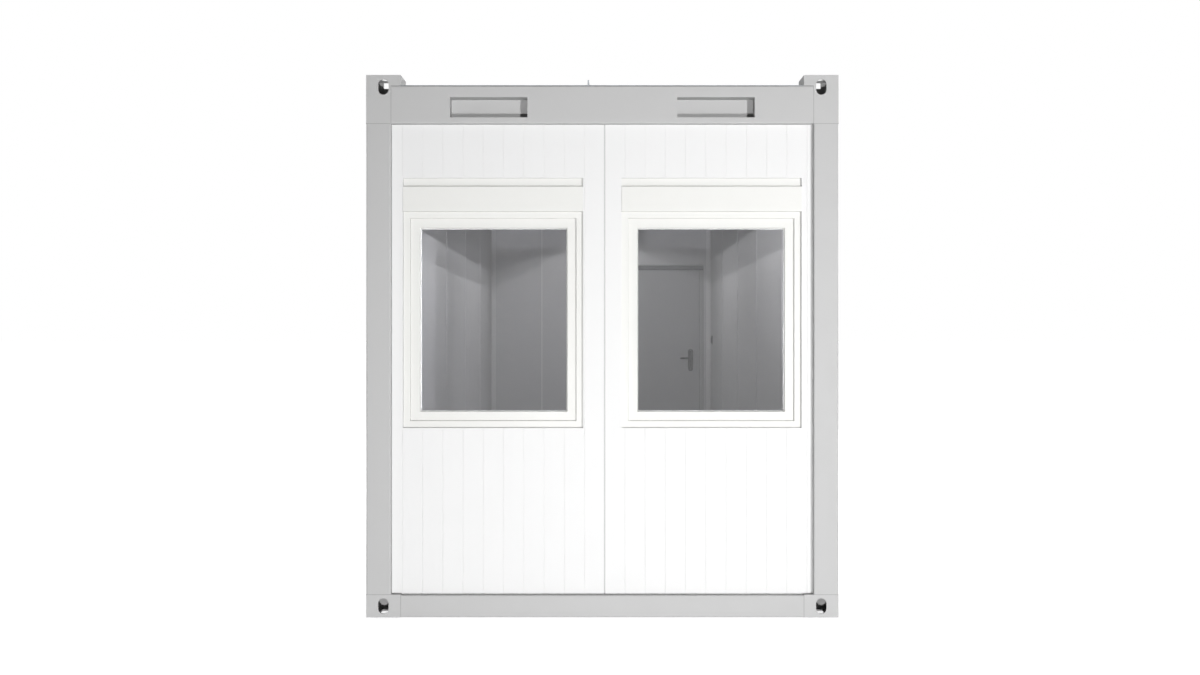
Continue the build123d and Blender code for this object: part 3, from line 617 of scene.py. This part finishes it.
# ---- mesh work
@dataclass
class Draft:
    """Vertices and faces of one piece, collected before it becomes an object."""

    points: list[Vector] = field(default_factory=list)
    faces: list[tuple[int, ...]] = field(default_factory=list)

    def add(self, points: Iterable[Vector], faces: Iterable[Sequence[int]]) -> None:
        """Join another closed form to the piece.

        Args:
            points: Its corners.
            faces: Its faces, each by the numbers of its corners.
        """
        start = len(self.points)
        self.points.extend(points)
        self.faces.extend(tuple(i + start for i in face) for face in faces)

    def turned(self, centre: Vector, axis: Vector, profile: Outline, steps: int = 16,
               star: Sequence[int] = ()) -> None:
        """Turn a profile about an axis.

        Args:
            centre: Foot of the axis.
            axis: Direction in which the profile rises.
            profile: Radius and rise of each ring, from the foot to the last ring.
            steps: Corners of each ring.
            star: Numbers of the rings that follow a six-lobed driver recess.
        """
        turn = axis.normalized().to_track_quat("Z", "Y").to_matrix()
        points, faces = [], []
        for number, (radius, rise) in enumerate(profile):
            for step in range(steps):
                angle = math.tau * step / steps
                lobe = 1 + LOBE_DEPTH * math.cos(LOBES * angle) if number in star else 1.0
                reach = radius * lobe
                points.append(centre + turn @ Vector((
                    reach * math.cos(angle), reach * math.sin(angle), rise)))
        for ring in range(len(profile) - 1):
            for step in range(steps):
                here, ahead = ring * steps + step, ring * steps + (step + 1) % steps
                faces.append((here, ahead, ahead + steps, here + steps))
        faces.append(tuple(reversed(range(steps))))
        faces.append(tuple(range((len(profile) - 1) * steps, len(profile) * steps)))
        self.add(points, faces)

    def frame_ring(self, low: Vector, high: Vector, section: Outline) -> None:
        """Run a closed section round an upright rectangle with mitred corners.

        Args:
            low: Lowest corner of the rectangle, on the plane of the section's zero depth.
            high: Opposite corner of the rectangle.
            section: Inset from the rectangle and depth along Y of each section point.
        """
        points, faces = [], []
        count = len(section)
        for side_x, side_z in ((0, 0), (1, 0), (1, 1), (0, 1)):
            for inset, depth in section:
                x = low.x + inset if side_x == 0 else high.x - inset
                z = low.z + inset if side_z == 0 else high.z - inset
                points.append(Vector((x, low.y + depth, z)))
        for corner in range(4):
            for k in range(count):
                here, ahead = corner * count + k, corner * count + (k + 1) % count
                shift = count if corner < 3 else -3 * count
                faces.append((here, ahead, ahead + shift, here + shift))
        self.add(points, faces)

    def plate(self, corner: Vector, across: Vector, along: Vector, up: Vector,
              outline: Outline) -> None:
        """Raise an outline to a plate.

        Args:
            corner: Origin of the outline.
            across: Direction of the outline's first values.
            along: Direction of the outline's second values.
            up: Thickness and direction in which the outline is raised.
            outline: Corners of the plate.
        """
        count = len(outline)
        flat = [corner + across * a + along * b for a, b in outline]
        points = flat + [spot + up for spot in flat]
        faces = [tuple(reversed(range(count))), tuple(range(count, 2 * count))]
        faces += [(k, (k + 1) % count, (k + 1) % count + count, k + count) for k in range(count)]
        self.add(points, faces)

    def piece(self, name: str, finish: Finish, slot: Slot, body: Body = Body.CABIN,
              ease_mm: float = 0.0) -> None:
        """Make the object, dress it and let it ride.

        Args:
            name: Name of the piece.
            finish: The finish that it takes.
            slot: The record's slot behind that finish. Not used.
            body: The body that it moves with.
            ease_mm: Width of the chamfer worked along its sharp edges.
        """
        mesh = bpy.data.meshes.new(name)
        mesh.from_pydata([tuple(p) for p in self.points], [], self.faces)
        mesh.validate()
        made = place_in_scene(name, mesh)
        mesh.materials.append(finish.material())
        face_out(mesh)
        mesh.shade_smooth()
        mesh.set_sharp_from_angle(angle=math.radians(SMOOTH_DEG))
        if ease_mm:
            ease = made.modifiers.new("eased_edges", "BEVEL")
            ease.width = ease_mm * MM
            ease.segments = 2
            ease.limit_method = "ANGLE"
        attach(made, body.value)
        LOG.info("%s made, %d faces, rides on %s", name, len(mesh.polygons), body.value)


def face_out(mesh: bpy.types.Mesh) -> None:
    """Turn every face of closed forms outwards.

    Args:
        mesh: The mesh that holds the forms.
    """
    work = bmesh.new()
    work.from_mesh(mesh)
    bmesh.ops.recalc_face_normals(work, faces=work.faces)
    work.to_mesh(mesh)
    work.free()


def rectangle(left: float, foot: float, right: float, head: float) -> Outline:
    """Return the corners of a rectangle between two corners."""
    return [(left, foot), (right, foot), (right, head), (left, head)]


def rounded_bar(width: float, length: float, steps: int = 8) -> Outline:
    """Outline of a bar with round ends, long along its second axis and centred on zero.

    Args:
        width: Full width.
        length: Full length.
        steps: Corners of each round end.

    Returns:
        The outline's corners.
    """
    radius = width / 2
    reach = length / 2 - radius
    turn = [math.pi * k / steps for k in range(steps + 1)]
    top = [(radius * math.cos(a), reach + radius * math.sin(a)) for a in turn]
    return top + [(-x, -z) for x, z in top]


@dataclass(frozen=True)
class Fastener:
    """Head of a small screw or rivet, by its real size in millimetres."""

    radius_mm: float
    height_mm: float
    driver: bool = True
    steps: int = 18

    def set(self, draft: Draft, spot: Vector, axis: Vector) -> None:
        """Seat one head on a surface.

        Args:
            draft: The piece that collects the heads.
            spot: Centre of the head's foot.
            axis: Direction out of the surface.
        """
        r, h = self.radius_mm * MM, self.height_mm * MM
        dome = [(r, 0.0), (r, 0.3 * h), (0.86 * r, 0.72 * h), (0.6 * r, h)]
        if self.driver:
            recess = [(0.42 * r, h), (0.36 * r, 0.35 * h)]
            draft.turned(spot, axis, dome + recess, self.steps, star=(4, 5))
        else:
            draft.turned(spot, axis, dome + [(0.2 * r, 1.06 * h)], self.steps)


# ---- finishes of this cabin
FRAME_PAINT = SprayedSteel()
SEAM_SEALER = MouldedPlastic("grey_seam_sealer", "#ABABAB", roughness=0.6)
WALL_SKIN = SandwichPanel()
JOINT_FOAM = MouldedPlastic("pale_joint_foam", "#D2D2D2", roughness=0.7)
CEILING_BOARD = CoilCoatedSteel("white_ceiling_board", "#D4D4D5", roughness=0.55, grain_mm=2.5)
WINDOW_PVC = ExtrudedPvc()
GLASS = FloatGlass()
TRIM_PVC = ExtrudedPvc("white_trim_pvc", "#E9E9E9", roughness=0.45)
ZINC = GalvanisedSheet()
ROOF_ZINC = GalvanisedSheet("galvanised_roof_sheet", "#A6AAAD", roughness=0.6, spangle_mm=20.0)
BOARD = PressedChipboard()
VINYL = SpeckledVinyl()
DOOR_ENAMEL = BakedPaint()
DOOR_FRAME_ENAMEL = BakedPaint("grey_stoved_door_frame", "#B2B3B3")
GRAPHITE_ENAMEL = BakedPaint("graphite_stoved_steel", "#4A4C4F", roughness=0.5)
# Black of the door's plates and levers, and also the painted shade of the lock's keyways.
BLACK_NYLON_AND_SHADE = MouldedPlastic("black_nylon_and_keyway_shade", "#141517", roughness=0.55, specular=0.3)
# Painted shade: the white plastic light switch is dressed dark grey like its shaded side face seen
# edge-on.
SWITCH_SHADE_GREY = MouldedPlastic("switch_painted_shade_grey", "#616365", roughness=0.35)
WHITE_ABS = MouldedPlastic("white_moulded_abs", "#F0F0ED", roughness=0.3)
BLACKENED_BRASS = BrushedMetal("blackened_brass", "#3A3836", roughness=0.34)
PLATED_STEEL = BrushedMetal("zinc_plated_steel", "#A9ABAE", roughness=0.52)
DRAWN_ALUMINIUM = BrushedMetal("drawn_aluminium", "#BFC1C3", roughness=0.4)
# Painted shade: dark grey strip over the doorway's head, where the head lies in shadow.
HEAD_SHADE_PAINT = MouldedPlastic("grey_painted_head_shade", "#6A6C6E", roughness=0.8)
SEAL_RUBBER = MouldedPlastic("black_epdm_rubber", "#1D1E20", roughness=0.7)
DIODE_RESIN = MouldedPlastic("yellow_diode_resin", "#F1E9B4", roughness=0.25)
GREY_RUBBER = MouldedPlastic("pale_tpe_gasket", "#E9E9E6", roughness=0.6)


# ---- sub-assemblies
@dataclass
class SteelFrame:
    """Welded frame: corner fittings, folded posts, roof beams and floor beams."""

    painted: Names = (
        "floor_corner_fittings", "roof_corner_fittings", "corner_posts", "front_roof_beam",
        "front_beam_pockets", "rear_roof_beam", "side_roof_beams", "end_floor_beams",
        "side_floor_beams")
    zinc_coated: Names = ("floor_cross_members", "roof_cross_members", "underfloor_sheet")
    bead_w: float = 3.4 * MM
    bead_h: float = 0.5 * MM

    def build(self) -> None:
        """Paint the frame, seal its seams and leave the hidden members in bare zinc."""
        dress(FRAME_PAINT, *self.painted)
        dress(ZINC, *self.zinc_coated)
        self.seams()

    def bead(self, draft: Draft, start: Vector, run: Vector, out: Vector) -> None:
        """Lay one bead of sealer.

        Args:
            draft: The piece that collects the beads.
            start: First end of the seam, on the steel's face.
            run: Way from the first end to the other.
            out: Direction out of the face.
        """
        w, h = self.bead_w / 2, self.bead_h
        across = out.cross(run).normalized()
        draft.plate(start, across, out, run, [(-w, -h), (w, -h), (w, 0.3 * h), (0.5 * w, h),
                                              (-0.5 * w, h), (-w, 0.3 * h)])

    def seams(self) -> None:
        """Sealer where the members meet the corner fittings, on all four sides."""
        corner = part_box("floor_corner_fittings")[1]
        roof_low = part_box("roof_corner_fittings")[0]
        floor_end, floor_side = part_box("end_floor_beams")[1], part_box("side_floor_beams")[1]
        roof_end, roof_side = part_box("front_roof_beam")[1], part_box("side_roof_beams")[1]
        draft = Draft()
        for side, end in ((X * sx, Y * sy) for sx in (-1, 1) for sy in (-1, 1)):
            for here, edge, face, floor_at, roof_at, out in (
                    (side, corner.x, end * corner.y, floor_end.x, roof_end.x, end),
                    (end, corner.y, side * corner.x, floor_side.y, roof_side.y, side)):
                at_roof, at_floor = face + here * roof_at, face + here * floor_at
                post, rise = here * (edge - roof_at), Z * (roof_end.z - roof_low.z)
                for start, run in (
                        (at_roof + Z * corner.z, post), (at_roof + Z * roof_low.z, post),
                        (at_floor, Z * floor_end.z), (at_roof + Z * roof_low.z, rise),
                        (at_floor + Z * roof_end.z, here * (roof_at - floor_at))):
                    self.bead(draft, start, run, out)
        draft.piece("frame_seam_sealer", SEAM_SEALER, Slot.FRAME)


@dataclass
class Walls:
    """Sandwich panels with their grooved outer skin, and the trims of the room."""

    panels: Names = (
        "front_left_panel", "front_right_panel", "left_wall_panels", "right_wall_panels",
        "rear_hinge_side_panels", "rear_latch_side_panel", "rear_over_door_panel")
    trims: Names = ("corner_trims", "joint_strips", "skirting")
    foam_set: float = 1.0 * MM
    foam_crown: float = 0.6 * MM
    foam_deep: float = 8.0 * MM
    foam_short: float = 2.0 * MM
    cap_pitch: float = 0.6
    skirting_t: float = 12.0 * MM
    cap: Fastener = Fastener(radius_mm=5.0, height_mm=1.8, driver=False, steps=16)

    def build(self) -> None:
        """Dress panels and trims and cap the skirting's screws."""
        dress(WALL_SKIN, *self.panels)
        dress(TRIM_PVC, *self.trims)
        # The switch's dark grey is painted shade.
        dress(SWITCH_SHADE_GREY, "light_switch")
        self.front_joint_seal()
        self.skirting_caps()

    def front_joint_seal(self) -> None:
        """Pale foam strip pressed into the joint of the two front panels."""
        left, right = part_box("front_left_panel"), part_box("front_right_panel")
        start, end, crown, deep = left[1].x, right[0].x, self.foam_crown, self.foam_deep
        low, high = left[0].z + self.foam_short, left[1].z - self.foam_short
        draft = Draft()
        draft.plate(Vector((0, left[0].y + self.foam_set, low)), X, Y, Z * (high - low), [
            (start, deep), (start, crown), (start + MM, 0.0), (end - MM, 0.0), (end, crown),
            (end, deep)])
        draft.piece("front_joint_seal", JOINT_FOAM, Slot.TRIM)

    def skirting_caps(self) -> None:
        """Plastic caps over the screws along the two long skirting boards."""
        low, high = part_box("skirting")
        middle = (low.z + high.z) / 2
        count = int((high.y - low.y) / self.cap_pitch)
        draft = Draft()
        for k in range(count):
            y = low.y + (high.y - low.y) * (k + 0.5) / count
            self.cap.set(draft, Vector((low.x + self.skirting_t, y, middle)), X)
            self.cap.set(draft, Vector((high.x - self.skirting_t, y, middle)), Vector((-1, 0, 0)))
        draft.piece("skirting_screw_caps", WHITE_ABS, Slot.TRIM)


@dataclass
class Window:
    """One front window: fixed frame, opening sash, double glazing and its handle."""

    side: str
    glass_lap: float = 8.7 * MM
    gasket: float = 0.8 * MM
    hinge_radius: float = 8.0 * MM
    hinge_height: float = 0.062
    hinge_margin: float = 0.085
    hinge_in: float = 0.6       # shares of the radius
    hinge_proud: float = 0.75
    hinge_round: float = 0.12
    hinge_tip: float = 0.7

    def build(self) -> None:
        """Dress the window and add its gasket and its hinges."""
        dress(WINDOW_PVC, f"{self.side}_window_frame", f"{self.side}_window_sash")
        self.gaskets()
        self.hinges()

    def view(self) -> tuple[Vector, Vector]:
        """Measure the clear glass.

        Returns:
            Its two corners, on the outer face of the outer pane and the inner face of the inner.
        """
        sash_low, sash_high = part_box(f"{self.side}_window_sash")
        pane_low, pane_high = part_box("window_glass")
        middle = (sash_low.x + sash_high.x) / 2
        half = pane_high.x - abs(middle) - self.glass_lap
        low = Vector((middle - half, pane_low.y, pane_low.z + self.glass_lap))
        high = Vector((middle + half, pane_high.y, pane_high.z - self.glass_lap))
        return low, high

    def gaskets(self) -> None:
        """Soft lip that seals the glass, outside and in the room."""
        low, high = self.view()
        w = self.gasket
        lip = [(-0.2 * w, -0.02 * w), (w, -0.02 * w), (0.7 * w, -0.5 * w), (0.0, -0.8 * w),
               (-0.2 * w, -0.8 * w)]
        draft = Draft()
        draft.frame_ring(low, high, lip)
        draft.frame_ring(Vector((low.x, high.y, low.z)), high, [(a, -b) for a, b in lip])
        draft.piece(f"{self.side}_glazing_gasket", GREY_RUBBER, Slot.RUBBER)

    def hinges(self) -> None:
        """Covered sash hinges on the room side, at the jamb away from the handle."""
        low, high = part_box(f"{self.side}_window_sash")
        outer_x, towards = (low.x, 1) if self.side == "left" else (high.x, -1)
        r, h = self.hinge_radius, self.hinge_height
        x, y = outer_x + towards * r * self.hinge_in, high.y + r * self.hinge_proud
        tip, ease = self.hinge_tip * r, self.hinge_round * r
        draft = Draft()
        for z in (low.z + self.hinge_margin, high.z - self.hinge_margin - h):
            draft.turned(Vector((x, y, z)), Z, [(tip, 0.0), (r, ease), (r, h - ease), (tip, h)], 24)
        draft.piece(f"{self.side}_window_hinges", WHITE_ABS, Slot.TRIM)


@dataclass
class WindowFittings:
    """Parts that both windows share as nodes: glass, shutter boxes and handles."""

    def build(self) -> None:
        """Dress glass, shutter boxes and handles."""
        dress(GLASS, "window_glass")
        dress(WINDOW_PVC, "shutter_boxes")
        dress(WHITE_ABS, "window_handles")


@dataclass
class Doorway:
    """Steel door with its frame, threshold, seal, lock and hinges."""

    screw: Fastener = Fastener(radius_mm=3.6, height_mm=1.6)
    hinge_screw: Fastener = Fastener(radius_mm=3.4, height_mm=1.4)
    plate_screws_at: Floats = (-0.098, 0.098)
    keyway_proud: float = 0.15 * MM
    faceplate_w: float = 0.020
    faceplate_l: float = 0.235
    faceplate_t: float = 1.5 * MM
    faceplate_rise: float = 5.0 * MM
    faceplate_screws_at: Floats = (-0.1, 0.1)
    tongue_half: float = 6.0 * MM
    latch_at: float = 0.062
    latch_h: float = 0.034
    bolt_at: float = -0.045
    bolt_h: float = 0.036
    strike_t: float = 1.0 * MM
    strike_gap: float = 0.3 * MM
    strike_margin: float = 2.0 * MM
    strike_slots: Floats = (-0.049, -0.005, 0.058, 0.100)
    strike_slot_half: float = 8.0 * MM
    strike_screws_at: Floats = (-0.1, 0.03, 0.11)
    head_strip_h: float = 0.046
    head_strip_t: float = 4.0 * MM
    head_strip_drop: float = 10.0 * MM
    head_strip_short: float = 2.0 * MM
    hinge_l: float = 0.0495
    hinge_flap: float = 3.2 * MM
    hinge_holes: Floats = (0.012, 0.037)
    frame_inset: float = 9.0 * MM
    leaf_inset: float = 12.0 * MM

    def build(self) -> None:
        """Dress the doorway and add its lock parts and screws."""
        dress(DOOR_FRAME_ENAMEL, "door_frame")
        dress(DOOR_ENAMEL, "door_leaf")
        dress(DRAWN_ALUMINIUM, "door_threshold")
        dress(SEAL_RUBBER, "door_seal")
        dress(BLACK_NYLON_AND_SHADE, "door_plates", "door_levers")
        dress(BLACKENED_BRASS, "lock_cylinder")
        dress(PLATED_STEEL, "hinge_frame_halves", "hinge_leaf_halves")
        self.plate_screws()
        self.painted_keyway_shades()
        self.lock_faceplate()
        self.strike_plate()
        self.hinge_screws()
        self.head_strip()

    def plate_screws(self) -> None:
        """Two screws at the ends of each lever plate."""
        low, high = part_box("door_plates")
        x, z = (low.x + high.x) / 2, (low.z + high.z) / 2
        draft = Draft()
        for y, out in ((low.y, -1), (high.y, 1)):
            for reach in self.plate_screws_at:
                self.screw.set(draft, Vector((x, y, z + reach)), Vector((0, out, 0)))
        draft.piece("lever_plate_screws", PLATED_STEEL, Slot.HINGE, Body.DOOR)

    def painted_keyway_shades(self) -> None:
        """Black keyway outlines on both ends of the lock cylinder: painted shade of the keyways."""
        low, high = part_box("lock_cylinder")
        x, z = (low.x + high.x) / 2, high.z - (high.x - low.x) / 2
        keyway = [(-0.8, -4.5), (0.9, -4.5), (0.9, -1.4), (0.2, -0.6), (1.0, 0.4), (1.0, 4.3),
                  (-0.9, 4.3), (-0.9, 0.8), (-0.1, 0.1), (-0.8, -1.2)]
        outline = [(a * MM, b * MM) for a, b in keyway]
        draft = Draft()
        for y, sign in ((high.y, 1), (low.y, -1)):
            draft.plate(Vector((x, y, z)), X * sign, Z, Y * sign * self.keyway_proud, outline)
        draft.piece("lock_keyway_shades", BLACK_NYLON_AND_SHADE, Slot.BLACK, Body.DOOR)

    def lock_centre(self) -> Point:
        """Find the middle of the mortice lock.

        Returns:
            The point, on the leaf's edge.
        """
        low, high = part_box("door_leaf")
        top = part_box("door_plates")[1].z
        return high.x, (low.y + high.y) / 2, top - self.faceplate_l / 2 + self.faceplate_rise

    def lock_faceplate(self) -> None:
        """Face of the mortice lock in the leaf's edge, with latch and bolt."""
        x, y, z = self.lock_centre()
        foot, half = x + self.faceplate_t, self.tongue_half
        draft = Draft()
        draft.plate(Vector((x, y, z)), Y, Z, X * self.faceplate_t,
                    rounded_bar(self.faceplate_w, self.faceplate_l))
        draft.plate(Vector((0, 0, z + self.latch_at)), X, Y, Z * self.latch_h, [
            (foot, y - half), (foot + 5.5 * MM, y - half), (foot + 4.5 * MM, y), (foot, y + half)])
        draft.plate(Vector((foot, y, z + self.bolt_at)), Y, Z, X * MM,
                    rectangle(-half, 0.0, half, self.bolt_h))
        for reach in self.faceplate_screws_at:
            self.screw.set(draft, Vector((foot, y, z + reach)), X)
        draft.piece("lock_faceplate", PLATED_STEEL, Slot.HINGE, Body.DOOR)

    def strike_plate(self) -> None:
        """Strip on the frame's rebate that takes latch and bolt."""
        _, y, z = self.lock_centre()
        corner = Vector((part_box("door_threshold")[1].x + self.strike_gap, y, z))
        thick = X * -self.strike_t
        half_w, half_l = self.faceplate_w / 2 + self.strike_margin, self.faceplate_l / 2
        slot = self.strike_slot_half
        levels = (-half_l, *self.strike_slots, half_l)
        draft = Draft()
        for k, (foot, head) in enumerate(zip(levels, levels[1:])):
            cut = ((slot, half_w), (-half_w, -slot))
            for left, right in cut if k % 2 else ((-half_w, half_w),):
                draft.plate(corner, Y, Z, thick, rectangle(left, foot, right, head))
        for reach in self.strike_screws_at:
            self.screw.set(draft, corner + Z * reach + thick, Vector((-1, 0, 0)))
        draft.piece("strike_plate", PLATED_STEEL, Slot.HINGE)

    def head_strip(self) -> None:
        """Dark strip over the doorway's head, on the room side: painted shade of that head."""
        low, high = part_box("door_frame")
        h, t, short = self.head_strip_h, self.head_strip_t, self.head_strip_short
        draft = Draft()
        draft.plate(Vector((low.x + short, low.y, high.z - h - self.head_strip_drop)), Y, Z,
                    X * (high.x - low.x - 2 * short), [
                        (0.0, 0.0), (0.0, h), (-0.6 * t, h), (-t, h - 3 * MM), (-t, 5 * MM),
                        (-0.4 * t, 0.0)])
        draft.piece("door_head_painted_shade", HEAD_SHADE_PAINT, Slot.RUBBER)

    def hinge_screws(self) -> None:
        """Screws through the flaps of the hinges, on the frame and on the leaf."""
        for half, body in (("frame", Body.CABIN), ("leaf", Body.DOOR)):
            low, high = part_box(f"hinge_{half}_halves")
            x = low.x + self.frame_inset if half == "frame" else high.x - self.leaf_inset
            draft = Draft()
            for foot in (low.z, high.z - self.hinge_l):
                for rise in self.hinge_holes:
                    spot = Vector((x, low.y + self.hinge_flap, foot + rise))
                    self.hinge_screw.set(draft, spot, Y)
            draft.piece(f"{half}_hinge_screws", PLATED_STEEL, Slot.HINGE, body)


@dataclass
class Roof:
    """Roof sheet with its rivets, and the ceiling."""

    rivet: Fastener = Fastener(radius_mm=6.0, height_mm=2.5, driver=False, steps=12)
    pitch: float = 0.25
    inset: float = 0.022
    clear: float = 0.22
    sheet_t: float = 2.3 * MM

    def build(self) -> None:
        """Dress roof and ceiling and rivet the sheet down."""
        dress(ROOF_ZINC, "roof_sheet")
        dress(CEILING_BOARD, "ceiling_panels")
        self.rivets()

    def rivets(self) -> None:
        """Rivets along all four edges, clear of the corner fittings."""
        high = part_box("roof_sheet")[1]
        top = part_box("side_roof_beams")[1].z + self.sheet_t
        draft = Draft()
        for edge, reach, along_x in ((high.x - self.inset, high.y - self.clear, False),
                                     (high.y - self.inset, high.x - self.clear, True)):
            count = int(2 * reach / self.pitch)
            for k in range(count + 1):
                run = -reach + 2 * reach * k / count
                for sign in (-1, 1):
                    spot = (run, sign * edge, top) if along_x else (sign * edge, run, top)
                    self.rivet.set(draft, Vector(spot), Z)
        draft.piece("roof_sheet_rivets", PLATED_STEEL, Slot.ROOF)


@dataclass
class CeilingLamps:
    """Two open lamps under the ceiling, each a folded steel tray with two strips of diodes."""

    places: Floats = (-1.60, 1.25)
    shares: Floats = (0.82, 1.0)
    length: float = 1.20
    tray_w: float = 0.180
    back_w: float = 0.110
    drop: float = 0.088
    rim: float = 0.040
    slope: float = 0.030
    sheet: float = 1.5 * MM
    cap_t: float = 0.010
    strip_x: float = 0.021
    strip_w: float = 0.012
    strip_t: float = 1.2 * MM
    strip_end: float = 0.02
    diode_end: float = 0.03
    diode_pitch: float = 0.03
    diode: Outline = ((2.5 * MM, 0.0), (2.5 * MM, 0.5 * MM), (1.4 * MM, 0.9 * MM))
    spread: Floats = (-0.4, 0.0, 0.4)
    sources: Outline = ((-0.0336, 0.029), (0.0109, 0.036))
    source_radius: float = 0.1 * MM

    def build(self) -> None:
        """Make trays, end caps and strips."""
        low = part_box("ceiling_panels")[0].z - self.drop
        trays, caps, strips, diodes = Draft(), Draft(), Draft(), Draft()
        w, t, b = self.tray_w / 2, self.sheet, self.back_w / 2
        deck, half = self.rim, self.strip_w / 2
        shell = [(b, self.drop), (b, deck + self.slope), (w, deck + t), (w, 0.0)]
        folded = shell + [(w - t, 0.0), (w - t, deck)]
        outline, closed = (form + [(-x, z) for x, z in reversed(form)] for form in (folded, shell))
        strip = rectangle(-half, 0.0, half, self.length - 2 * self.strip_end)
        count = int((self.length - 2 * self.diode_end) / self.diode_pitch)
        for middle in self.places:
            start = Vector((0, middle - self.length / 2, low))
            trays.plate(start, X, Z, Y * self.length, outline)
            for y in (-self.cap_t, self.length):
                caps.plate(start + Y * y, X, Z, Y * self.cap_t, closed)
            for x in (-self.strip_x, self.strip_x):
                strips.plate(start + Vector((x, self.strip_end, deck)), X, Y, Z * -self.strip_t,
                             strip)
                for k in range(count):
                    y = self.diode_end + k * self.diode_pitch
                    spot = start + Vector((x, y, deck - self.strip_t))
                    diodes.turned(spot, Vector((0, 0, -1)), self.diode, 8)
        trays.piece("ceiling_lamp_trays", GRAPHITE_ENAMEL, Slot.TRIM)
        caps.piece("ceiling_lamp_caps", WHITE_ABS, Slot.TRIM, ease_mm=0.8)
        strips.piece("ceiling_lamp_strips", WHITE_ABS, Slot.TRIM)
        diodes.piece("ceiling_lamp_diodes", DIODE_RESIN, Slot.TRIM)

    def light(self, watts: float) -> None:
        """Hang the lights under the strips.

        Args:
            watts: Power of each row of lights under a strip.
        """
        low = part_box("ceiling_panels")[0].z - self.drop
        spots = [(x, middle + reach, low + rise, share)
                 for middle, share in zip(self.places, self.shares)
                 for reach in self.spread for x, rise in self.sources]
        for number, (x, y, z, share) in enumerate(spots):
            glow = bpy.data.lights.new(f"ceiling_spot_{number}", "SPOT")
            glow.spot_size = math.pi
            glow.spot_blend = 0.0
            glow.shadow_soft_size = self.source_radius
            glow.energy = watts * share / len(self.spread)
            place_in_scene(glow.name, glow, (x, y, z))


@dataclass
class Floor:
    """Floor board and its covering."""

    def build(self) -> None:
        """Dress board and covering."""
        dress(BOARD, "floor_board")
        dress(VINYL, "floor_covering")


# ---- studio
@dataclass(frozen=True)
class Lamp:
    """One square studio lamp aimed at a point."""

    name: str
    place: Point
    aim: Point
    size: float
    watts: float

    def build(self) -> None:
        """Hang the lamp and aim it."""
        light = bpy.data.lights.new(self.name, "AREA")
        light.shape = "SQUARE"
        light.size = self.size
        light.energy = self.watts
        made = place_in_scene(self.name, light, self.place)
        towards = Vector(self.aim) - Vector(self.place)
        made.rotation_euler = towards.to_track_quat("-Z", "Y").to_euler()


@dataclass
class Studio:
    """White floor, white surroundings, lamps and camera."""

    floor_reach: float = 400.0
    ambient: float = 0.02
    ceiling_watts: float = 13.0
    camera_back: float = 6.020
    camera_height: float = 1.445
    camera_x: float = -0.012
    lens_mm: float = 35.0
    sensor_mm: float = 36.0
    far_m: float = 1000.0

    def build(self) -> None:
        """Set up everything that isn't part of the cabin."""
        self.floor()
        self.world()
        self.lamps()
        self.camera()
        bpy.context.scene.view_settings.view_transform = "Standard"

    def floor(self) -> None:
        """Plain floor under the whole cabin, open to the light of the lamp beneath it."""
        reach, ground = self.floor_reach, CAD_BOX[0][2]
        mesh = bpy.data.meshes.new("studio_floor")
        corners = [(x, y, ground) for x, y in rectangle(-reach, -reach, reach, reach)]
        mesh.from_pydata(corners, [], [(0, 1, 2, 3)])
        mesh.materials.append(StudioFloor().material())
        made = place_in_scene("studio_floor", mesh)
        made.visible_shadow = False

    def world(self) -> None:
        """White surroundings for sight lines and reflections, and a low even light."""
        world = bpy.data.worlds.new("white_studio")
        world.use_nodes = True
        bench = Bench(world.node_tree)
        bench.tree.nodes.clear()
        strength = bench.add("MapRange", {"Value": seen_rays(bench), "To Min": self.ambient})
        back = bench.add("Background", {
            "Color": linear("#FFFFFF"), "Strength": strength.outputs["Result"]})
        bench.add("OutputWorld", {"Surface": back.outputs["Background"]})
        bpy.context.scene.world = world

    def lamps(self) -> None:
        """Small far lamps for the front, large soft ones for the other sides, and the ceiling's."""
        front, ground = CAD_BOX[0][1], CAD_BOX[0][2]
        face, centre = (0.0, front, 1.3), (0.0, 0.0, 1.4)
        for lamp in (
                Lamp("front_right_lamp", (3.835, front - 7.6, ground + 1.55), face, 0.03, 347.0),
                Lamp("front_low_lamp", (-0.12, front - 6.66, ground - 0.42), face, 0.03, 225.0),
                Lamp("left_softbox", (-7.0, 1.0, 3.0), centre, 2.5, 225.0),
                Lamp("right_softbox", (7.0, 1.0, 3.0), centre, 2.5, 225.0),
                Lamp("rear_softbox", (1.5, 9.0, 3.2), centre, 2.5, 260.0),
                Lamp("top_softbox", (0.0, 1.5, 7.5), (0.0, 0.5, 0.0), 3.0, 110.0)):
            lamp.build()
        CeilingLamps().light(self.ceiling_watts)

    def camera(self) -> None:
        """Level camera before the middle of the front wall."""
        lens = bpy.data.cameras.new("front_camera")
        lens.lens = self.lens_mm
        lens.sensor_width = self.sensor_mm
        lens.clip_end = self.far_m
        made = place_in_scene("front_camera", lens, (
            self.camera_x, CAD_BOX[0][1] - self.camera_back, self.camera_height))
        made.rotation_euler = (math.radians(90), 0.0, 0.0)
        bpy.context.scene.camera = made


def main() -> None:
    """Build the cabin's looks in order, then the studio."""
    logging.basicConfig(level=logging.INFO, format="%(name)s: %(message)s")
    for assembly in (SteelFrame(), Walls(), Window("left"), Window("right"), WindowFittings(),
                     Doorway(), Roof(), CeilingLamps(), Floor()):
        assembly.build()
        LOG.info("%s finished", type(assembly).__name__)
    Studio().build()


if __name__ == "__main__":
    main()
